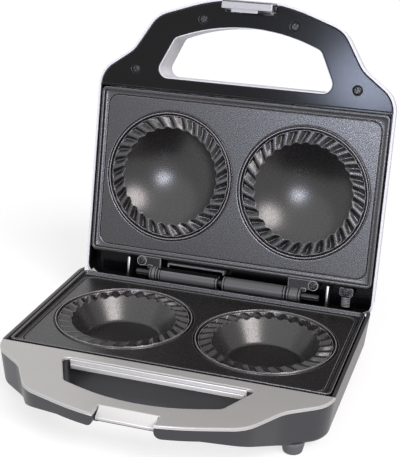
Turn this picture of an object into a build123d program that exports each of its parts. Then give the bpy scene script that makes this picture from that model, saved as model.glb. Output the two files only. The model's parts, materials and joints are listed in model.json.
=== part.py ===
"""Electric pie maker: two-well base, domed lid on a rear hinge, sprung latch.

Every piece is drawn in the rim frame: the origin is the centre of the lower plate, z = 0 is the
plane where the two plates meet, +Z is up and +Y points to the hinge.  The lid and the latch are
drawn closed, then swung open about the hinge.  Millimetres throughout.
"""

from build123d import *
from math import cos, pi, radians, sin, tan
import os

os.makedirs("parts", exist_ok=True)

# ---------------------------------------------------------------- driving dimensions
plate_width = 240.0
plate_depth = 138.0
rim_height = 38.0          # plane of the plate rims above the table
open_angle = 101.4         # lid travel from closed to resting open
hinge_back = 13.4          # hinge axis behind the plates

# clearances and cutter overshoot
running_gap = 0.05         # radial, round a turning pin
seat_gap = 0.1             # between pieces that only rest beside each other
screw_slack = 0.2          # radial, round a screw in a clearance hole
over = 1.0                 # how far a cutter runs past the face it opens
far = 400.0                # beyond everything

# plates
plate_gap = 0.4            # between the two rims when closed
plate_corner = 4.0
rim_width = 2.2
rim_depth = 3.3            # rim top to plate field
plate_wall = 3.0
field_groove_inset = 5.0
field_groove_corner = 9.0
field_groove_width = 0.9
field_groove_depth = 0.6
well_pitch = 113.3
ridge_radius = 52.35
ridge_width = 2.0
ridge_height = 1.0
ridge_flank = 0.4          # slope of the ridge's sides
crimp_outer = 50.4
crimp_inner = 41.0
flute_count = 29
flute_depth = 2.2
flute_skew = 28.0
flute_share = 0.72         # of the crimp ring taken by the grooves
floor_radius = 28.5
well_depth = 17.5          # plate field to well floor
dome_depth = 16.0          # plate field to crown of the dome
boss_inset = 10.0          # corner bosses from the plate's edges
boss_height = 5.5
boss_radius = 4.0

# cases
case_margin = 4.0          # base case side beyond the plate
case_wall = 2.5
lid_wall = 1.8
base_depth = 30.0          # case below the rim plane
base_draft = 6.0
lid_draft = 5.0
base_edge_round = 4.0
case_back = 14.0           # base case behind the plate
lid_back = 24.0            # lid case behind the plate
rear_corner = 18.0
lid_rear_corner = 12.0
case_gap = 0.3             # lid case above, base case below, the rim plane
lid_crown = 34.5
lid_nose_height = 24.5
lid_tail_height = 26.5
lid_edge_round = 9.0

# handle, measured forward from the plates and inward from the case side
shoulder_forward = 13.3
neck_inset = 27.6
neck_forward = 33.3
horn_inset = 45.7
horn_forward = 62.6
handle_reach = 80.5
handle_front_radius = 155.0
shoulder_radius = 24.0
neck_radius = 26.0
handle_skirt = 11.0        # depth of the lower handle loop
undercut_start = 25.0      # where the case floor starts to rise, forward of the plate
undercut_end = 71.0
deck_line = 2.4            # gap line between plate and handle deck
deck_thickness = 2.2
deck_edge_round = 0.8
hole_rear = 12.2           # handle opening, forward of the plate
hole_front = 56.5
hole_horn_back = 12.4      # the opening's front corners behind its front
hole_rear_half = 75.4
hole_front_half = 60.0
hole_corner = 7.0
hole_front_radius = 150.0
deck_hole_narrow = 3.4     # the lower opening is narrower by this on each side
deck_hole_radius = 125.0   # and its front is bowed to this radius
deck_hole_corner = 3.6     # and its rear corners are rounded to this one
panel_inset = 2.5
panel_lip = 0.8            # silver edge left round the upper opening
panel_boss = 1.6
panel_head_sink = 2.0      # screw heads below the panel's face
deck_screw_x = 42.0
deck_screw_forward = 62.0
deck_screw_sink = 2.6
strip_half = 65.0          # stepped ledges behind the lower opening
strip_depth = 6.4
strip_steps = ((1.6, 0.0), (3.2, 1.6), (4.6, 3.4))
strip_taper = 0.8          # each ledge is shorter by this at each end
handle_screws = ((37.6, 61.2), (92.0, 16.7))
handle_screw_length = 10.7

# catch and latch
notch_half = 21.3
notch_forward = 67.0
notch_round = 5.0          # lower corners of the handle's ends beside the notch
catch_reach = 8.0
catch_drop = 4.9
catch_thickness = 2.0
catch_root = 6.0
catch_root_drop = 2.8      # how far the root goes below the deck
latch_side_gap = 0.8       # latch narrower than its notch, on each side
latch_wall = 2.4
latch_recess = 2.2         # latch face behind the tip of the handle
latch_hook_gap = 0.9
latch_hook_reach = 9.6
latch_hook_thickness = 2.6
latch_pivot_height = 12.0
latch_pivot_back = 5.0
latch_top = 2.8            # latch above its pivot
latch_ear_inset = 4.5
latch_ear_radius = 3.2
latch_ear_width = 3.0
latch_pin_radius = 1.5
pocket_room = 5.0          # behind the pivot
pocket_height = 6.0        # above the pivot
spring_half = 8.0
spring_radius = 2.8
spring_wire = 1.0

# hinge
pin_radius = 2.5
pin_left = -78.0
pin_right = 80.0
pin_chamfer = 0.5
barrel_radius = 6.0
barrel_flat = 1.2          # cut off the top of the left barrel
barrel_foot = 1.8
barrel_spans = ((-57.0, -5.0), (-1.3, 52.5))
barrel_screw_x = (-49.0, -13.0, 9.0, 45.0)
barrel_screw_back = 4.8
knuckle_spans = ((-65.0, -57.3), (52.8, 65.0))
knuckle_radius = 5.6
bracket_z = 0.8
bracket_wall = 2.6
bracket_half = 3.9
hinge_screw_x = 73.6
hinge_screw_forward = 9.2
hinge_screw_length = 5.0
ledge_drop = 7.0           # hinge ledge below the rim plane
ledge_start = 1.8          # behind the plate
arm_x = 85.5
arm_thickness = 2.0
arm_start = 2.6
arm_toe = 5.5
arm_landing = 0.4          # between the toe and the ledge
slot_height = 6.0          # slot in the lid's rear wall
slot_clear = 4.0           # between hinge axis and slot
slot_inset = 5.0

# lid liner
liner_clear = 0.75         # between the upper plate and the liner
liner_gap = 0.15
liner_wall = 0.9
liner_start = 0.8
liner_top = 15.0
liner_roof = 1.8
bay_gap = 0.4
bay_wall = 1.6
bay_depth = 10.0
lug_half = 5.0
lug_wall = 2.0

# heaters
heater_radius = 3.2
heater_side_inset = 12.0
heater_end_inset = 14.0
heater_corner = 20.0
heater_gap = 22.0          # half the gap between the element's ends
heater_sleeve = 4.0
heater_pin = 12.0
heater_pin_radius = 1.2
clamp_x = 30.0
clamp_offset = 9.0         # clamp screw inward from the element
clamp_half = 5.0
clamp_wall = 1.0
reflector_wall = 0.8
reflector_clear = 0.6      # pan behind the backs of the cells
reflector_side_inset = 13.0
reflector_end_inset = 10.0
reflector_rim = 6.0
reflector_posts = ((0.0, -30.0), (0.0, 38.0))
reflector_screw_length = 7.0

# controls and wiring
thermostat_half = 9.5
thermostat_front = -8.0
thermostat_back = 16.0
thermostat_height = 9.0
thermostat_cap = (4.0, 6.0, 3.0)      # place along Y, radius and height
fuse_y = 18.0
fuse_radius = 2.2
fuse_half = 6.0
fuse_lead = 3.5
fuse_lead_radius = 0.8
fuse_clip_half = 3.0
fuse_clip_wall = 0.8
block_x = (24.0, 54.0)
block_y = (-1.0, 7.0)      # behind the plate
block_z = -18.0
block_poles = 3
block_hole = (2.2, 3.0)    # radius and depth
lead_radius = 1.4
lead_bend = 2.5
lead_lane = 5.0            # inside the plate's rear edge
hot_lead = (34.0, 7.5, -20.0, -14.0)      # block x, far x, low z, high z
cold_lead = (46.0, -12.0, -24.0)          # block x, far x, low z
gland_x = 72.0
gland_z = -19.0
gland_radius = 5.5
gland_flange_radius = 7.5
gland_flange = 2.4
gland_body = 6.0
gland_bore = 3.6
lamp_x = 11.0
lamp_back = 14.0
lamp_radius = 2.4
lamp_length = 4.9
lens_radius = 4.0
lens_depth = 3.2
lens_proud = 0.7
lens_round = 0.5
cover_span = (-51.0, -2.0)            # strip over the lid's leads
cover_back = 3.7
cover_wall = 1.0
cover_flange = 3.2
cover_low = 1.4
conduit_x = 100.3
conduit_clamp_z = 3.0
conduit_clamp_half = 5.5
conduit_clamp_wall = 1.2
conduit_screw_back = 5.4
conduit_screw_length = 5.0
sleeve_turns = 6
sleeve_radii = (3.8, 3.2, 2.4)        # rib, tube and bore
sleeve_end = 5.0

# feet and fixings
foot_top_radius = 8.5
foot_bottom_radius = 6.6
foot_round = 1.5
foot_x = 100.0
foot_inset = 2.0           # the other feet nearer the middle than the front right one
foot_front = 18.0          # front right foot forward of the plate
foot_back = 3.0            # other feet inside the plate's front and rear edges
foot_seat = 1.0
foot_screw_sink = 4.5
foot_post = 12.0
screw_radius = 1.5
screw_head_radius = 3.4
screw_head_height = 1.8
screw_sink = 2.6
cross_length = 4.2
cross_width = 0.8
post_radius = 4.5

# ---------------------------------------------------------------- derived places
half_w = plate_width / 2
front = -plate_depth / 2
back = plate_depth / 2
hinge_y = back + hinge_back
rim_z = -plate_gap / 2
field_z = rim_z - rim_depth
under_z = field_z - plate_wall
heater_z = under_z - heater_radius - seat_gap
clamp_z = heater_z - heater_radius - seat_gap
boss_z = under_z - boss_height
base_half = half_w + case_margin
lid_half = half_w + liner_clear + liner_wall + liner_gap + lid_wall
case_front = front - handle_reach
case_rear = back + case_back
lid_rear = back + lid_back
floor_z = -base_depth
inner_floor_z = floor_z + case_wall
deck_top = -case_gap
deck_low = deck_top - deck_thickness
deck_rear = front - deck_line
deck_seat_z = -handle_skirt + deck_screw_sink
hole_rear_y = front - hole_rear
hole_front_y = front - hole_front
hole_wall = panel_lip + 1.0
ledge_z = -ledge_drop
ledge_half = base_half - case_wall
ledge_y = back + ledge_start
barrel_screw_y = back + barrel_screw_back
notch_y = front - notch_forward
catch_tip_y = notch_y - catch_reach
catch_tip_z = deck_top - catch_drop
catch_root_z = deck_low - catch_root_drop
latch_half = notch_half - latch_side_gap
latch_face_y = case_front + latch_recess
latch_back_y = latch_face_y + latch_wall
latch_axis_y = latch_back_y + latch_pivot_back
latch_pin_half = notch_half + lid_wall
hook_top_z = catch_tip_z - catch_thickness - latch_hook_gap
hook_bottom_z = hook_top_z - latch_hook_thickness
pocket_top = latch_pivot_height + pocket_height
panel_back = case_gap + deck_thickness
panel_screw_z = case_gap + panel_head_sink
lug_z = -boss_z
clamp_screw_y = back + conduit_screw_back
foot_screw_z = -rim_height + foot_screw_sink


def wide_arc_apex(tip_y, radius, slope):
    """Corner point whose fillet of this radius just reaches tip_y, for sides falling at slope."""
    return tip_y - radius * (1 / cos(radians(slope)) - 1)


def rise_angle(run, rise, radius):
    """Slope of the tangent from a point `run` aside and `rise` behind an arc's tip."""
    low, high = 1.0, 45.0
    for _ in range(40):
        mid = (low + high) / 2
        reach = run * tan(radians(mid)) - radius * (1 / cos(radians(mid)) - 1)
        low, high = (mid, high) if reach < rise else (low, mid)
    return (low + high) / 2


def mirrored_outline(right_side, radii):
    """Closed outline from its right half, front apex first, mirrored to the left."""
    left_side = [(-x, y) for x, y in reversed(right_side[1:])]
    left_radii = list(reversed(radii[1:]))
    path = FilletPolyline(*right_side, *left_side, radius=radii + left_radii, close=True)
    return make_face(path.edges())


def case_outline(half, rear_y, rear_round):
    """Plan of a case half: square back, sides, shoulders, narrow neck and bowed handle."""
    horn = (half - horn_inset, front - horn_forward)
    slope = rise_angle(horn[0], horn[1] - case_front, handle_front_radius)
    apex = (0, wide_arc_apex(case_front, handle_front_radius, slope))
    neck = (half - neck_inset, front - neck_forward)
    shoulder = (half, front - shoulder_forward)
    corner = (half, rear_y)
    radii = [handle_front_radius, neck_radius, neck_radius, shoulder_radius, rear_round]
    return mirrored_outline([apex, horn, neck, shoulder, corner], radii)


def base_outline():
    """Plan of the base case."""
    return case_outline(base_half, case_rear, rear_corner)


def lid_outline():
    """Plan of the lid case."""
    return case_outline(lid_half, lid_rear, lid_rear_corner)


def hole_outline(narrow, front_radius, rear_round):
    """Plan of a handle's finger opening, narrowed by this much on each side."""
    horn = (hole_front_half - narrow, hole_front_y + hole_horn_back)
    slope = rise_angle(horn[0], hole_horn_back, front_radius)
    apex = (0, wide_arc_apex(hole_front_y, front_radius, slope))
    rear = (hole_rear_half - narrow, hole_rear_y)
    return mirrored_outline([apex, horn, rear], [front_radius, hole_corner, rear_round])


def grown(outline, amount):
    """Outline moved out by this much, or in where it is negative."""
    return offset(outline, amount) if amount else outline


def box(x0, x1, y0, y1, z0, z1):
    """Box between two corners."""
    centre = ((x0 + x1) / 2, (y0 + y1) / 2, (z0 + z1) / 2)
    return Pos(*centre) * Box(abs(x1 - x0), abs(y1 - y0), abs(z1 - z0))


def rod(x, y, z0, z1, radius):
    """Upright cylinder between two heights."""
    return Pos(x, y, (z0 + z1) / 2) * Cylinder(radius, abs(z1 - z0))


def rod_x(x0, x1, y, z, radius):
    """Cylinder along X."""
    return Pos((x0 + x1) / 2, y, z) * Rot(0, 90, 0) * Cylinder(radius, abs(x1 - x0))


def rod_y(x, z, y0, y1, radius):
    """Cylinder along Y."""
    return Pos(x, (y0 + y1) / 2, z) * Rot(90, 0, 0) * Cylinder(radius, abs(y1 - y0))


def side_prism(points, half):
    """Prism along X from an outline in (y, z)."""
    outline = Polyline(*points, close=True)
    return extrude(Plane.YZ * make_face(outline.edges()), amount=half, both=True)


def slab(outline, z0, z1):
    """Prism along Z from a plan outline, between two heights."""
    return Pos(0, 0, min(z0, z1)) * extrude(outline, amount=abs(z1 - z0))


def rounded_slab(width, depth, corner, z0, z1):
    """Rounded rectangle centred on the plates, between two heights."""
    return slab(RectangleRounded(width, depth, corner), z0, z1)


def screw(x, y, head_z, tip_z):
    """Pan-head screw, its head outside head_z and its tip at tip_z."""
    out = 1 if head_z > tip_z else -1
    top_z = head_z + out * screw_head_height
    head = rod(x, y, head_z, top_z, screw_head_radius)
    shank = rod(x, y, tip_z, head_z, screw_radius)
    arm = cross_length / 2
    half = cross_width / 2
    cross = box(x - arm, x + arm, y - half, y + half, top_z, top_z - out)
    cross += box(x - half, x + half, y - arm, y + arm, top_z, top_z - out)
    return head + shank - cross


def screws(places, head_z, tip_z):
    """One screw at each place."""
    return [screw(x, y, head_z, tip_z) for x, y in places]


def both_sides(points):
    """Each point and its mirror image across x = 0."""
    return [(s * x, y) for x, y in points for s in (-1, 1)]


# ---------------------------------------------------------------- plates
def flute_cutter(hand):
    """One slanted V groove lying across the crimp ring, pointing along +X."""
    middle = (crimp_outer + crimp_inner) / 2
    length = (crimp_outer - crimp_inner) + over
    width = flute_share * 2 * pi * middle / flute_count
    lip = ridge_flank
    points = [(-width / 2, lip), (width / 2, lip), (width / 4, -flute_depth)]
    prism = side_prism(points, length / 2)
    return Pos(middle, 0, field_z) * Rot(0, 0, hand * flute_skew) * prism


def arc_between(rim_radius, rim_level, crown_level):
    """Dome profile from a rim to its crown on the axis."""
    depth = rim_level - crown_level
    radius = (rim_radius ** 2 + depth ** 2) / (2 * depth)
    turn = radians(20)
    middle = (radius * sin(turn), crown_level + radius * (1 - cos(turn)))
    return ThreePointArc((rim_radius, rim_level), middle, (0, crown_level))


def cell(is_dome):
    """Turned profile of one well or dome with its seal ridge, about its own axis."""
    ridge_out = ridge_radius + ridge_width / 2
    ridge_in = ridge_radius - ridge_width / 2
    skirt = ridge_out + over
    ridge_z = field_z + ridge_height
    outer = crimp_inner + plate_wall
    depth = dome_depth if is_dome else well_depth
    inside_z = field_z - depth
    outside_z = under_z - depth
    ring = [(skirt, field_z), (ridge_out, field_z), (ridge_out - ridge_flank, ridge_z)]
    ring += [(ridge_in + ridge_flank, ridge_z), (ridge_in, field_z), (crimp_inner, field_z)]
    if is_dome:
        top = arc_between(crimp_inner, field_z, inside_z)
        under = arc_between(outer, under_z, outside_z)
    else:
        top = Polyline((crimp_inner, field_z), (floor_radius, inside_z), (0, inside_z))
        under = Polyline((0, outside_z), (floor_radius + over, outside_z), (outer, under_z))
    axis_line = Line((0, inside_z), (0, outside_z))
    closing = Polyline((outer, under_z), (skirt, under_z), (skirt, field_z))
    parts = [Polyline(*ring), top, axis_line, under, closing]
    edges = [edge for part in parts for edge in part.edges()]
    return revolve(Plane.XZ * make_face(edges), axis=Axis.Z)


def plate_bosses():
    """Places of the tapped bosses under a plate's corners."""
    x = half_w - boss_inset
    return both_sides([(x, front + boss_inset), (x, back - boss_inset)])


def clamp_places():
    """Places where clamps hold the element, with the way from the clamp's boss to the element."""
    near = (0.0, front + heater_end_inset, -1)
    return [near] + [(side * clamp_x, back - heater_end_inset, 1) for side in (-1, 1)]


def pan_z(is_dome):
    """Height of the reflector's inside."""
    return under_z - (dome_depth if is_dome else well_depth) - reflector_clear


def plate(is_dome):
    """Cast plate facing up, rim at the rim plane; the upper plate is its mirror image."""
    body = rounded_slab(plate_width, plate_depth, plate_corner, rim_z, under_z)
    inner_w = plate_width - 2 * rim_width
    inner_d = plate_depth - 2 * rim_width
    body -= rounded_slab(inner_w, inner_d, plate_corner / 2, rim_z + over, field_z)
    line_w = plate_width - 2 * field_groove_inset
    line_d = plate_depth - 2 * field_groove_inset
    trim = 2 * field_groove_width
    groove_z = field_z - field_groove_depth
    groove = rounded_slab(line_w, line_d, field_groove_corner, field_z + over, groove_z)
    groove -= rounded_slab(line_w - trim, line_d - trim, field_groove_corner - field_groove_width,
                           field_z + 2 * over, groove_z - over)
    body -= groove
    clear_radius = ridge_radius + ridge_width / 2 + over / 2
    for side in (-1, 1):
        centre = Pos(side * well_pitch / 2, 0, 0)
        body -= centre * rod(0, 0, rim_z + over, under_z - over, clear_radius)
        body += centre * cell(is_dome)
        cutters = [Rot(0, 0, i * 360 / flute_count) * flute_cutter(side) for i in range(flute_count)]
        body -= [centre * cutter for cutter in cutters]
    for x, y in plate_bosses():
        body += rod(x, y, under_z, boss_z, boss_radius)
        body -= rod(x, y, boss_z - over, under_z, screw_radius)
    for x, y, way in clamp_places():
        body += rod(x, y - way * clamp_offset, under_z, clamp_z, boss_radius)
        body -= rod(x, y - way * clamp_offset, clamp_z - over, under_z - over, screw_radius)
    hang_z = pan_z(is_dome)
    for x, y in reflector_posts:
        body += rod(x, y, under_z, hang_z, boss_radius)
        body -= rod(x, y, hang_z - over, hang_z + reflector_screw_length + over, screw_radius)
    return body


def heater():
    """Tubular sheathed element looped round the wells, below the plate."""
    x = half_w - heater_side_inset
    y0 = front + heater_end_inset
    y1 = back - heater_end_inset
    z = heater_z
    points = [(-heater_gap, y1, z), (-x, y1, z), (-x, y0, z), (x, y0, z), (x, y1, z), (heater_gap, y1, z)]
    path = FilletPolyline(*points, radius=heater_corner)
    section = Plane(origin=points[0], z_dir=(-1, 0, 0)) * Circle(heater_radius)
    element = sweep(section, path=path.wire())
    for side in (-1, 1):
        inner = side * (heater_gap - heater_sleeve)
        tip = side * (heater_gap - heater_pin)
        element += rod_x(inner, side * heater_gap, y1, z, heater_radius - reflector_wall)
        element += rod_x(tip, inner, y1, z, heater_pin_radius)
    return element


def heater_clamps():
    """Steel straps that hold the element up against the plate."""
    straps = []
    for x, y, way in clamp_places():
        near = y - way * (clamp_offset + clamp_half)
        strap = box(x - clamp_half, x + clamp_half, near, y + way * clamp_half,
                    clamp_z, clamp_z - clamp_wall)
        strap -= rod(x, y - way * clamp_offset, clamp_z + over, clamp_z - 2 * clamp_wall,
                     screw_radius + screw_slack)
        straps.append(strap)
    return straps


def heater_clamp_screws():
    """Screws of the element straps."""
    places = [(x, y - way * clamp_offset) for x, y, way in clamp_places()]
    return screws(places, clamp_z - clamp_wall, under_z - 2 * over)


def reflector(is_dome):
    """Bright steel pan behind the cells that throws the heat back."""
    width = plate_width - 2 * reflector_side_inset
    depth = plate_depth - 2 * reflector_end_inset
    inside_z = pan_z(is_dome)
    rim = inside_z + reflector_rim
    thin = 2 * reflector_wall
    pan = rounded_slab(width, depth, heater_corner, rim, inside_z - reflector_wall)
    pan -= rounded_slab(width - thin, depth - thin, heater_corner - reflector_wall, rim + over, inside_z)
    for x, y in reflector_posts:
        pan -= rod(x, y, inside_z + over, inside_z - 2 * over, screw_radius + screw_slack)
    return pan


def reflector_screws(is_dome):
    """Screws that hang the pan on the plate's posts."""
    inside_z = pan_z(is_dome)
    return screws(reflector_posts, inside_z - reflector_wall, inside_z + reflector_screw_length)


# ---------------------------------------------------------------- base
def undercut(rise):
    """Space under the handle, where the case floor slopes up to the skirt; rise is the wall."""
    flat_end = front - undercut_start
    slope_end = front - undercut_end
    skirt_z = rise - handle_skirt
    points = [(flat_end, floor_z + rise), (slope_end, skirt_z), (-far, skirt_z)]
    points += [(-far, -far), (flat_end, -far)]
    return side_prism(points, far)


def base_mass(inset):
    """Body of the base case, shrunk by a wall."""
    outline = grown(base_outline(), -inset)
    depth = base_depth - inset - case_gap
    body = Pos(0, 0, -case_gap) * extrude(outline, amount=depth, dir=(0, 0, -1), taper=base_draft)
    edge_round = base_edge_round - inset * 0.8
    body = fillet(body.faces().sort_by(Axis.Z)[0].edges(), edge_round)
    return body - undercut(inset)


def deck_hole(grow, z0, z1):
    """Finger opening of the base, grown by a wall, between two heights."""
    outline = hole_outline(deck_hole_narrow, deck_hole_radius, deck_hole_corner)
    return slab(grown(outline, grow), z0, z1)


def notch(grow, z0, z1):
    """Latch notch in the middle of the handle's front."""
    half = notch_half + grow
    return box(-half, half, -far, notch_y + grow, z0, z1)


def notch_corners():
    """What comes off the lower corners of the handle's ends beside the notch."""
    low = -handle_skirt
    cutters = []
    for side in (-1, 1):
        centre_x = side * (notch_half + notch_round)
        corner = box(side * (notch_half - over), centre_x, -far, notch_y, low - over, low + notch_round)
        cutters.append(corner - rod_y(centre_x, low + notch_round, -far, notch_y + over, notch_round))
    return cutters


def feet_places():
    """Places of the four feet, the front right one further forward than its neighbour."""
    x = foot_x - foot_inset
    others = [(-x, front + foot_back), (x, back - foot_back), (-x, back - foot_back)]
    return [(foot_x, front - foot_front)] + others


def deck_screw_places():
    """Places of the screws under the handle deck."""
    return both_sides([(deck_screw_x, front - deck_screw_forward)])


def base_shell():
    """Moulded tray of the base with its handle loop, hinge ledge and screw posts."""
    body = base_mass(0)
    cavity = base_mass(case_wall)
    cavity -= deck_hole(case_wall, floor_z, far)
    cavity -= notch(case_wall, floor_z, far)
    cavity -= box(-ledge_half, ledge_half, ledge_y, case_rear, ledge_z - case_wall, ledge_z)
    for x, y in plate_bosses():
        cavity -= rod(x, y, floor_z, boss_z - seat_gap, post_radius)
    for x, y in feet_places():
        cavity -= rod(x, y, floor_z, floor_z + foot_post, post_radius)
    for x, y in deck_screw_places():
        cavity -= rod(x, y, floor_z, 0, post_radius)
    body -= cavity
    body -= deck_hole(0, floor_z - over, far)
    body -= notch(0, floor_z - over, far)
    body -= notch_corners()
    body -= box(-far, far, -far, deck_rear, deck_low, far)
    body -= box(-ledge_half, ledge_half, ledge_y, far, ledge_z, far)
    body -= box(-notch_half, notch_half, notch_y - over, notch_y + catch_root, catch_root_z, 0)
    for x, y in plate_bosses():
        body -= rod(x, y, floor_z - over, 0, screw_radius + screw_slack)
        body -= rod(x, y, floor_z - over, floor_z + screw_sink, screw_head_radius + screw_slack)
    for x, y in feet_places():
        body -= rod(x, y, floor_z - over, floor_z + foot_seat, foot_top_radius + seat_gap)
        body -= rod(x, y, floor_z - over, floor_z + foot_post - case_wall, screw_radius)
    for x, y in deck_screw_places():
        body -= rod(x, y, floor_z - over, 0, screw_radius + screw_slack)
        body -= rod(x, y, floor_z - over, deck_seat_z, screw_head_radius + screw_slack)
    for x in barrel_screw_x:
        body -= rod(x, barrel_screw_y, ledge_z + over, ledge_z - case_wall - over, screw_radius)
    seat = gland_seat_y()
    body -= rod_y(gland_x, gland_z, seat - gland_body - over, seat + over, gland_radius)
    body -= rod_y(gland_x, gland_z, seat, seat + gland_body, gland_flange_radius + seat_gap)
    return body


def deck_panel():
    """Silver deck round the finger opening, with stepped ledges down the opening's rear wall."""
    panel = slab(base_outline(), deck_low, deck_top)
    panel &= box(-far, far, -far, deck_rear, deck_low, deck_top)
    panel = fillet(panel.faces().sort_by(Axis.Z)[-1].edges(), deck_edge_round)
    panel -= deck_hole(0, deck_low - over, deck_top + over)
    panel -= notch(0, deck_low - over, deck_top + over)
    for x, y in deck_screw_places():
        panel -= rod(x, y, deck_low - over, deck_top - deck_edge_round, screw_radius)
    ledges = None
    for i, (reach, drop) in enumerate(strip_steps):
        half = strip_half - i * strip_taper
        ledge = box(-half, half, hole_rear_y - reach, hole_rear_y + over / 2,
                    deck_top - strip_depth, deck_top - ridge_flank - drop)
        ledges = ledge if ledges is None else ledges + ledge
    ledges -= box(-far, far, hole_rear_y, far, -far, deck_low)
    return panel + ledges


def catch_plate():
    """Bright sloping catch in the notch; its root sits under the deck."""
    low = catch_tip_z - catch_thickness
    root_y = notch_y + catch_root
    lip_y = notch_y - seat_gap
    points = [(root_y, deck_low), (lip_y, deck_low), (lip_y, deck_top), (catch_tip_y, catch_tip_z)]
    points += [(catch_tip_y, low), (lip_y, low), (lip_y, catch_root_z), (root_y, catch_root_z)]
    return side_prism(points, latch_half + seat_gap)


def feet():
    """Four tapered feet with sunk screws."""
    top_z = floor_z + foot_seat
    solids = []
    for x, y in feet_places():
        foot = Cone(foot_bottom_radius, foot_top_radius, top_z + rim_height)
        foot = fillet(foot.edges().sort_by(Axis.Z)[0], foot_round)
        foot = Pos(x, y, (top_z - rim_height) / 2) * foot
        foot -= rod(x, y, -rim_height - over, foot_screw_z, screw_head_radius + screw_slack)
        foot -= rod(x, y, -rim_height - over, top_z + over, screw_radius + screw_slack)
        solids.append(foot)
    return solids


def hinge_barrels():
    """Two barrels on the rear ledge that hold the pin, the left one flat on top."""
    solids = []
    for index, (x0, x1) in enumerate(barrel_spans):
        barrel = rod_x(x0, x1, hinge_y, 0, barrel_radius)
        barrel += box(x0, x1, hinge_y - barrel_radius / 2, case_rear, ledge_z, 0)
        barrel += box(x0, x1, ledge_y + ridge_flank, hinge_y, ledge_z, ledge_z + barrel_foot)
        if index == 0:
            barrel -= box(x0 - over, x1 - over, -far, far, barrel_radius - barrel_flat, far)
        barrel -= rod_x(x0 - over, x1 + over, hinge_y, 0, pin_radius)
        for x in barrel_screw_x:
            if x0 < x < x1:
                barrel -= rod(x, barrel_screw_y, ledge_z - over, 0, screw_radius + screw_slack)
        solids.append(barrel)
    return solids


def hinge_pin():
    """Steel rod through both barrels and both knuckles."""
    pin = rod_x(pin_left, pin_right, hinge_y, 0, pin_radius)
    return chamfer(pin.edges(), pin_chamfer)


def gland_seat_y():
    """Flat seat sunk just into the sloping rear wall."""
    return case_rear + (gland_z - gland_flange_radius) * tan(radians(base_draft))


def cord_gland():
    """Bushing in the rear wall where the supply cord enters."""
    seat = gland_seat_y()
    body = rod_y(gland_x, gland_z, seat, seat + gland_flange, gland_flange_radius)
    body += rod_y(gland_x, gland_z, seat - gland_body, seat, gland_radius)
    return body - rod_y(gland_x, gland_z, seat - 2 * gland_body, seat + gland_body, gland_bore)


def thermostat():
    """Snap-disc thermostat pressed against the lower plate between the wells."""
    low = under_z - thermostat_height
    cap_y, cap_radius, cap_height = thermostat_cap
    body = box(-thermostat_half, thermostat_half, thermostat_front, thermostat_back,
               under_z - seat_gap, low)
    return body + rod(0, cap_y, low, low - cap_height, cap_radius)


def thermal_fuse():
    """One-shot fuse held against the upper plate between the domes."""
    z = under_z - fuse_radius - seat_gap
    end = fuse_half + fuse_lead
    body = rod_x(-fuse_half, fuse_half, fuse_y, z, fuse_radius)
    return body + rod_x(-end, end, fuse_y, z, fuse_lead_radius)


def fuse_clip():
    """Steel clip over the fuse."""
    reach = fuse_radius + 4 * seat_gap
    outer = reach + fuse_clip_wall
    low = under_z - fuse_radius - reach
    clip = box(-fuse_clip_half, fuse_clip_half, fuse_y - outer, fuse_y + outer,
               under_z - seat_gap / 2, low - fuse_clip_wall)
    return clip - box(-far, far, fuse_y - reach, fuse_y + reach, under_z + over, low)


def terminal_block():
    """Mains terminal block on the case floor behind the reflector."""
    x0, x1 = block_x
    y0, y1 = (back + y for y in block_y)
    hole_radius, hole_depth = block_hole
    block = box(x0, x1, y0, y1, inner_floor_z, block_z)
    for i in range(block_poles):
        x = x0 + (i + 0.5) * (x1 - x0) / block_poles
        block -= rod(x, (y0 + y1) / 2, block_z - hole_depth, block_z + over, hole_radius)
    return block


def lead(points):
    """Round lead along straight runs joined by bends."""
    path = FilletPolyline(*points, radius=lead_bend)
    start = Vector(*points[1]) - Vector(*points[0])
    return sweep(Plane(origin=points[0], z_dir=start) * Circle(lead_radius), path=path.wire())


def base_leads():
    """Leads from the terminal block to the thermostat and to the element."""
    block_front = back + block_y[0]
    lane_y = back - lead_lane
    element_y = back - heater_end_inset + heater_pin_radius + seat_gap
    hot_x, hot_far_x, hot_low, hot_high = hot_lead
    hot = [(hot_x, block_front, hot_low), (hot_x, lane_y, hot_low), (hot_x, lane_y, hot_high)]
    hot += [(hot_far_x, lane_y, hot_high), (hot_far_x, thermostat_back + seat_gap, hot_high)]
    cold_x, cold_far_x, cold_low = cold_lead
    cold = [(cold_x, block_front, cold_low), (cold_x, lane_y, cold_low), (cold_far_x, lane_y, cold_low)]
    cold += [(cold_far_x, lane_y, heater_z), (cold_far_x, element_y, heater_z)]
    return [lead(hot), lead(cold)]


# ---------------------------------------------------------------- lid
def crown_points():
    """Front, middle and rear points of the lid's bowed top, in (y, z)."""
    middle = (case_front + lid_rear) / 2
    return (case_front, lid_nose_height), (middle, lid_crown), (lid_rear, lid_tail_height)


def crown_z(y):
    """Height of the lid's top along its middle."""
    total = 0.0
    for i, (yi, zi) in enumerate(crown_points()):
        others = [yj for j, (yj, _) in enumerate(crown_points()) if j != i]
        total += zi * (y - others[0]) * (y - others[1]) / ((yi - others[0]) * (yi - others[1]))
    return total


def lid_mass(inset):
    """Closed body of the whole lid with its bowed top and rounded edge, shrunk by a wall."""
    outline = grown(lid_outline(), -inset)
    body = Pos(0, 0, case_gap) * extrude(outline, amount=lid_crown + 2 * over, taper=lid_draft)
    ends = [case_front - over, crown_points()[1][0], lid_rear + over]
    arc_points = [(y, crown_z(y) - inset) for y in ends]
    low_z = -far
    sides = Polyline(arc_points[2], (ends[2], low_z), (ends[0], low_z), arc_points[0])
    profile = make_face([*ThreePointArc(*arc_points).edges(), *sides.edges()])
    body &= extrude(Plane.YZ * profile, amount=far, both=True)
    top_edges = body.faces().sort_by(Axis.Z)[-1].edges()
    return fillet(top_edges, lid_edge_round - inset)


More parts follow.
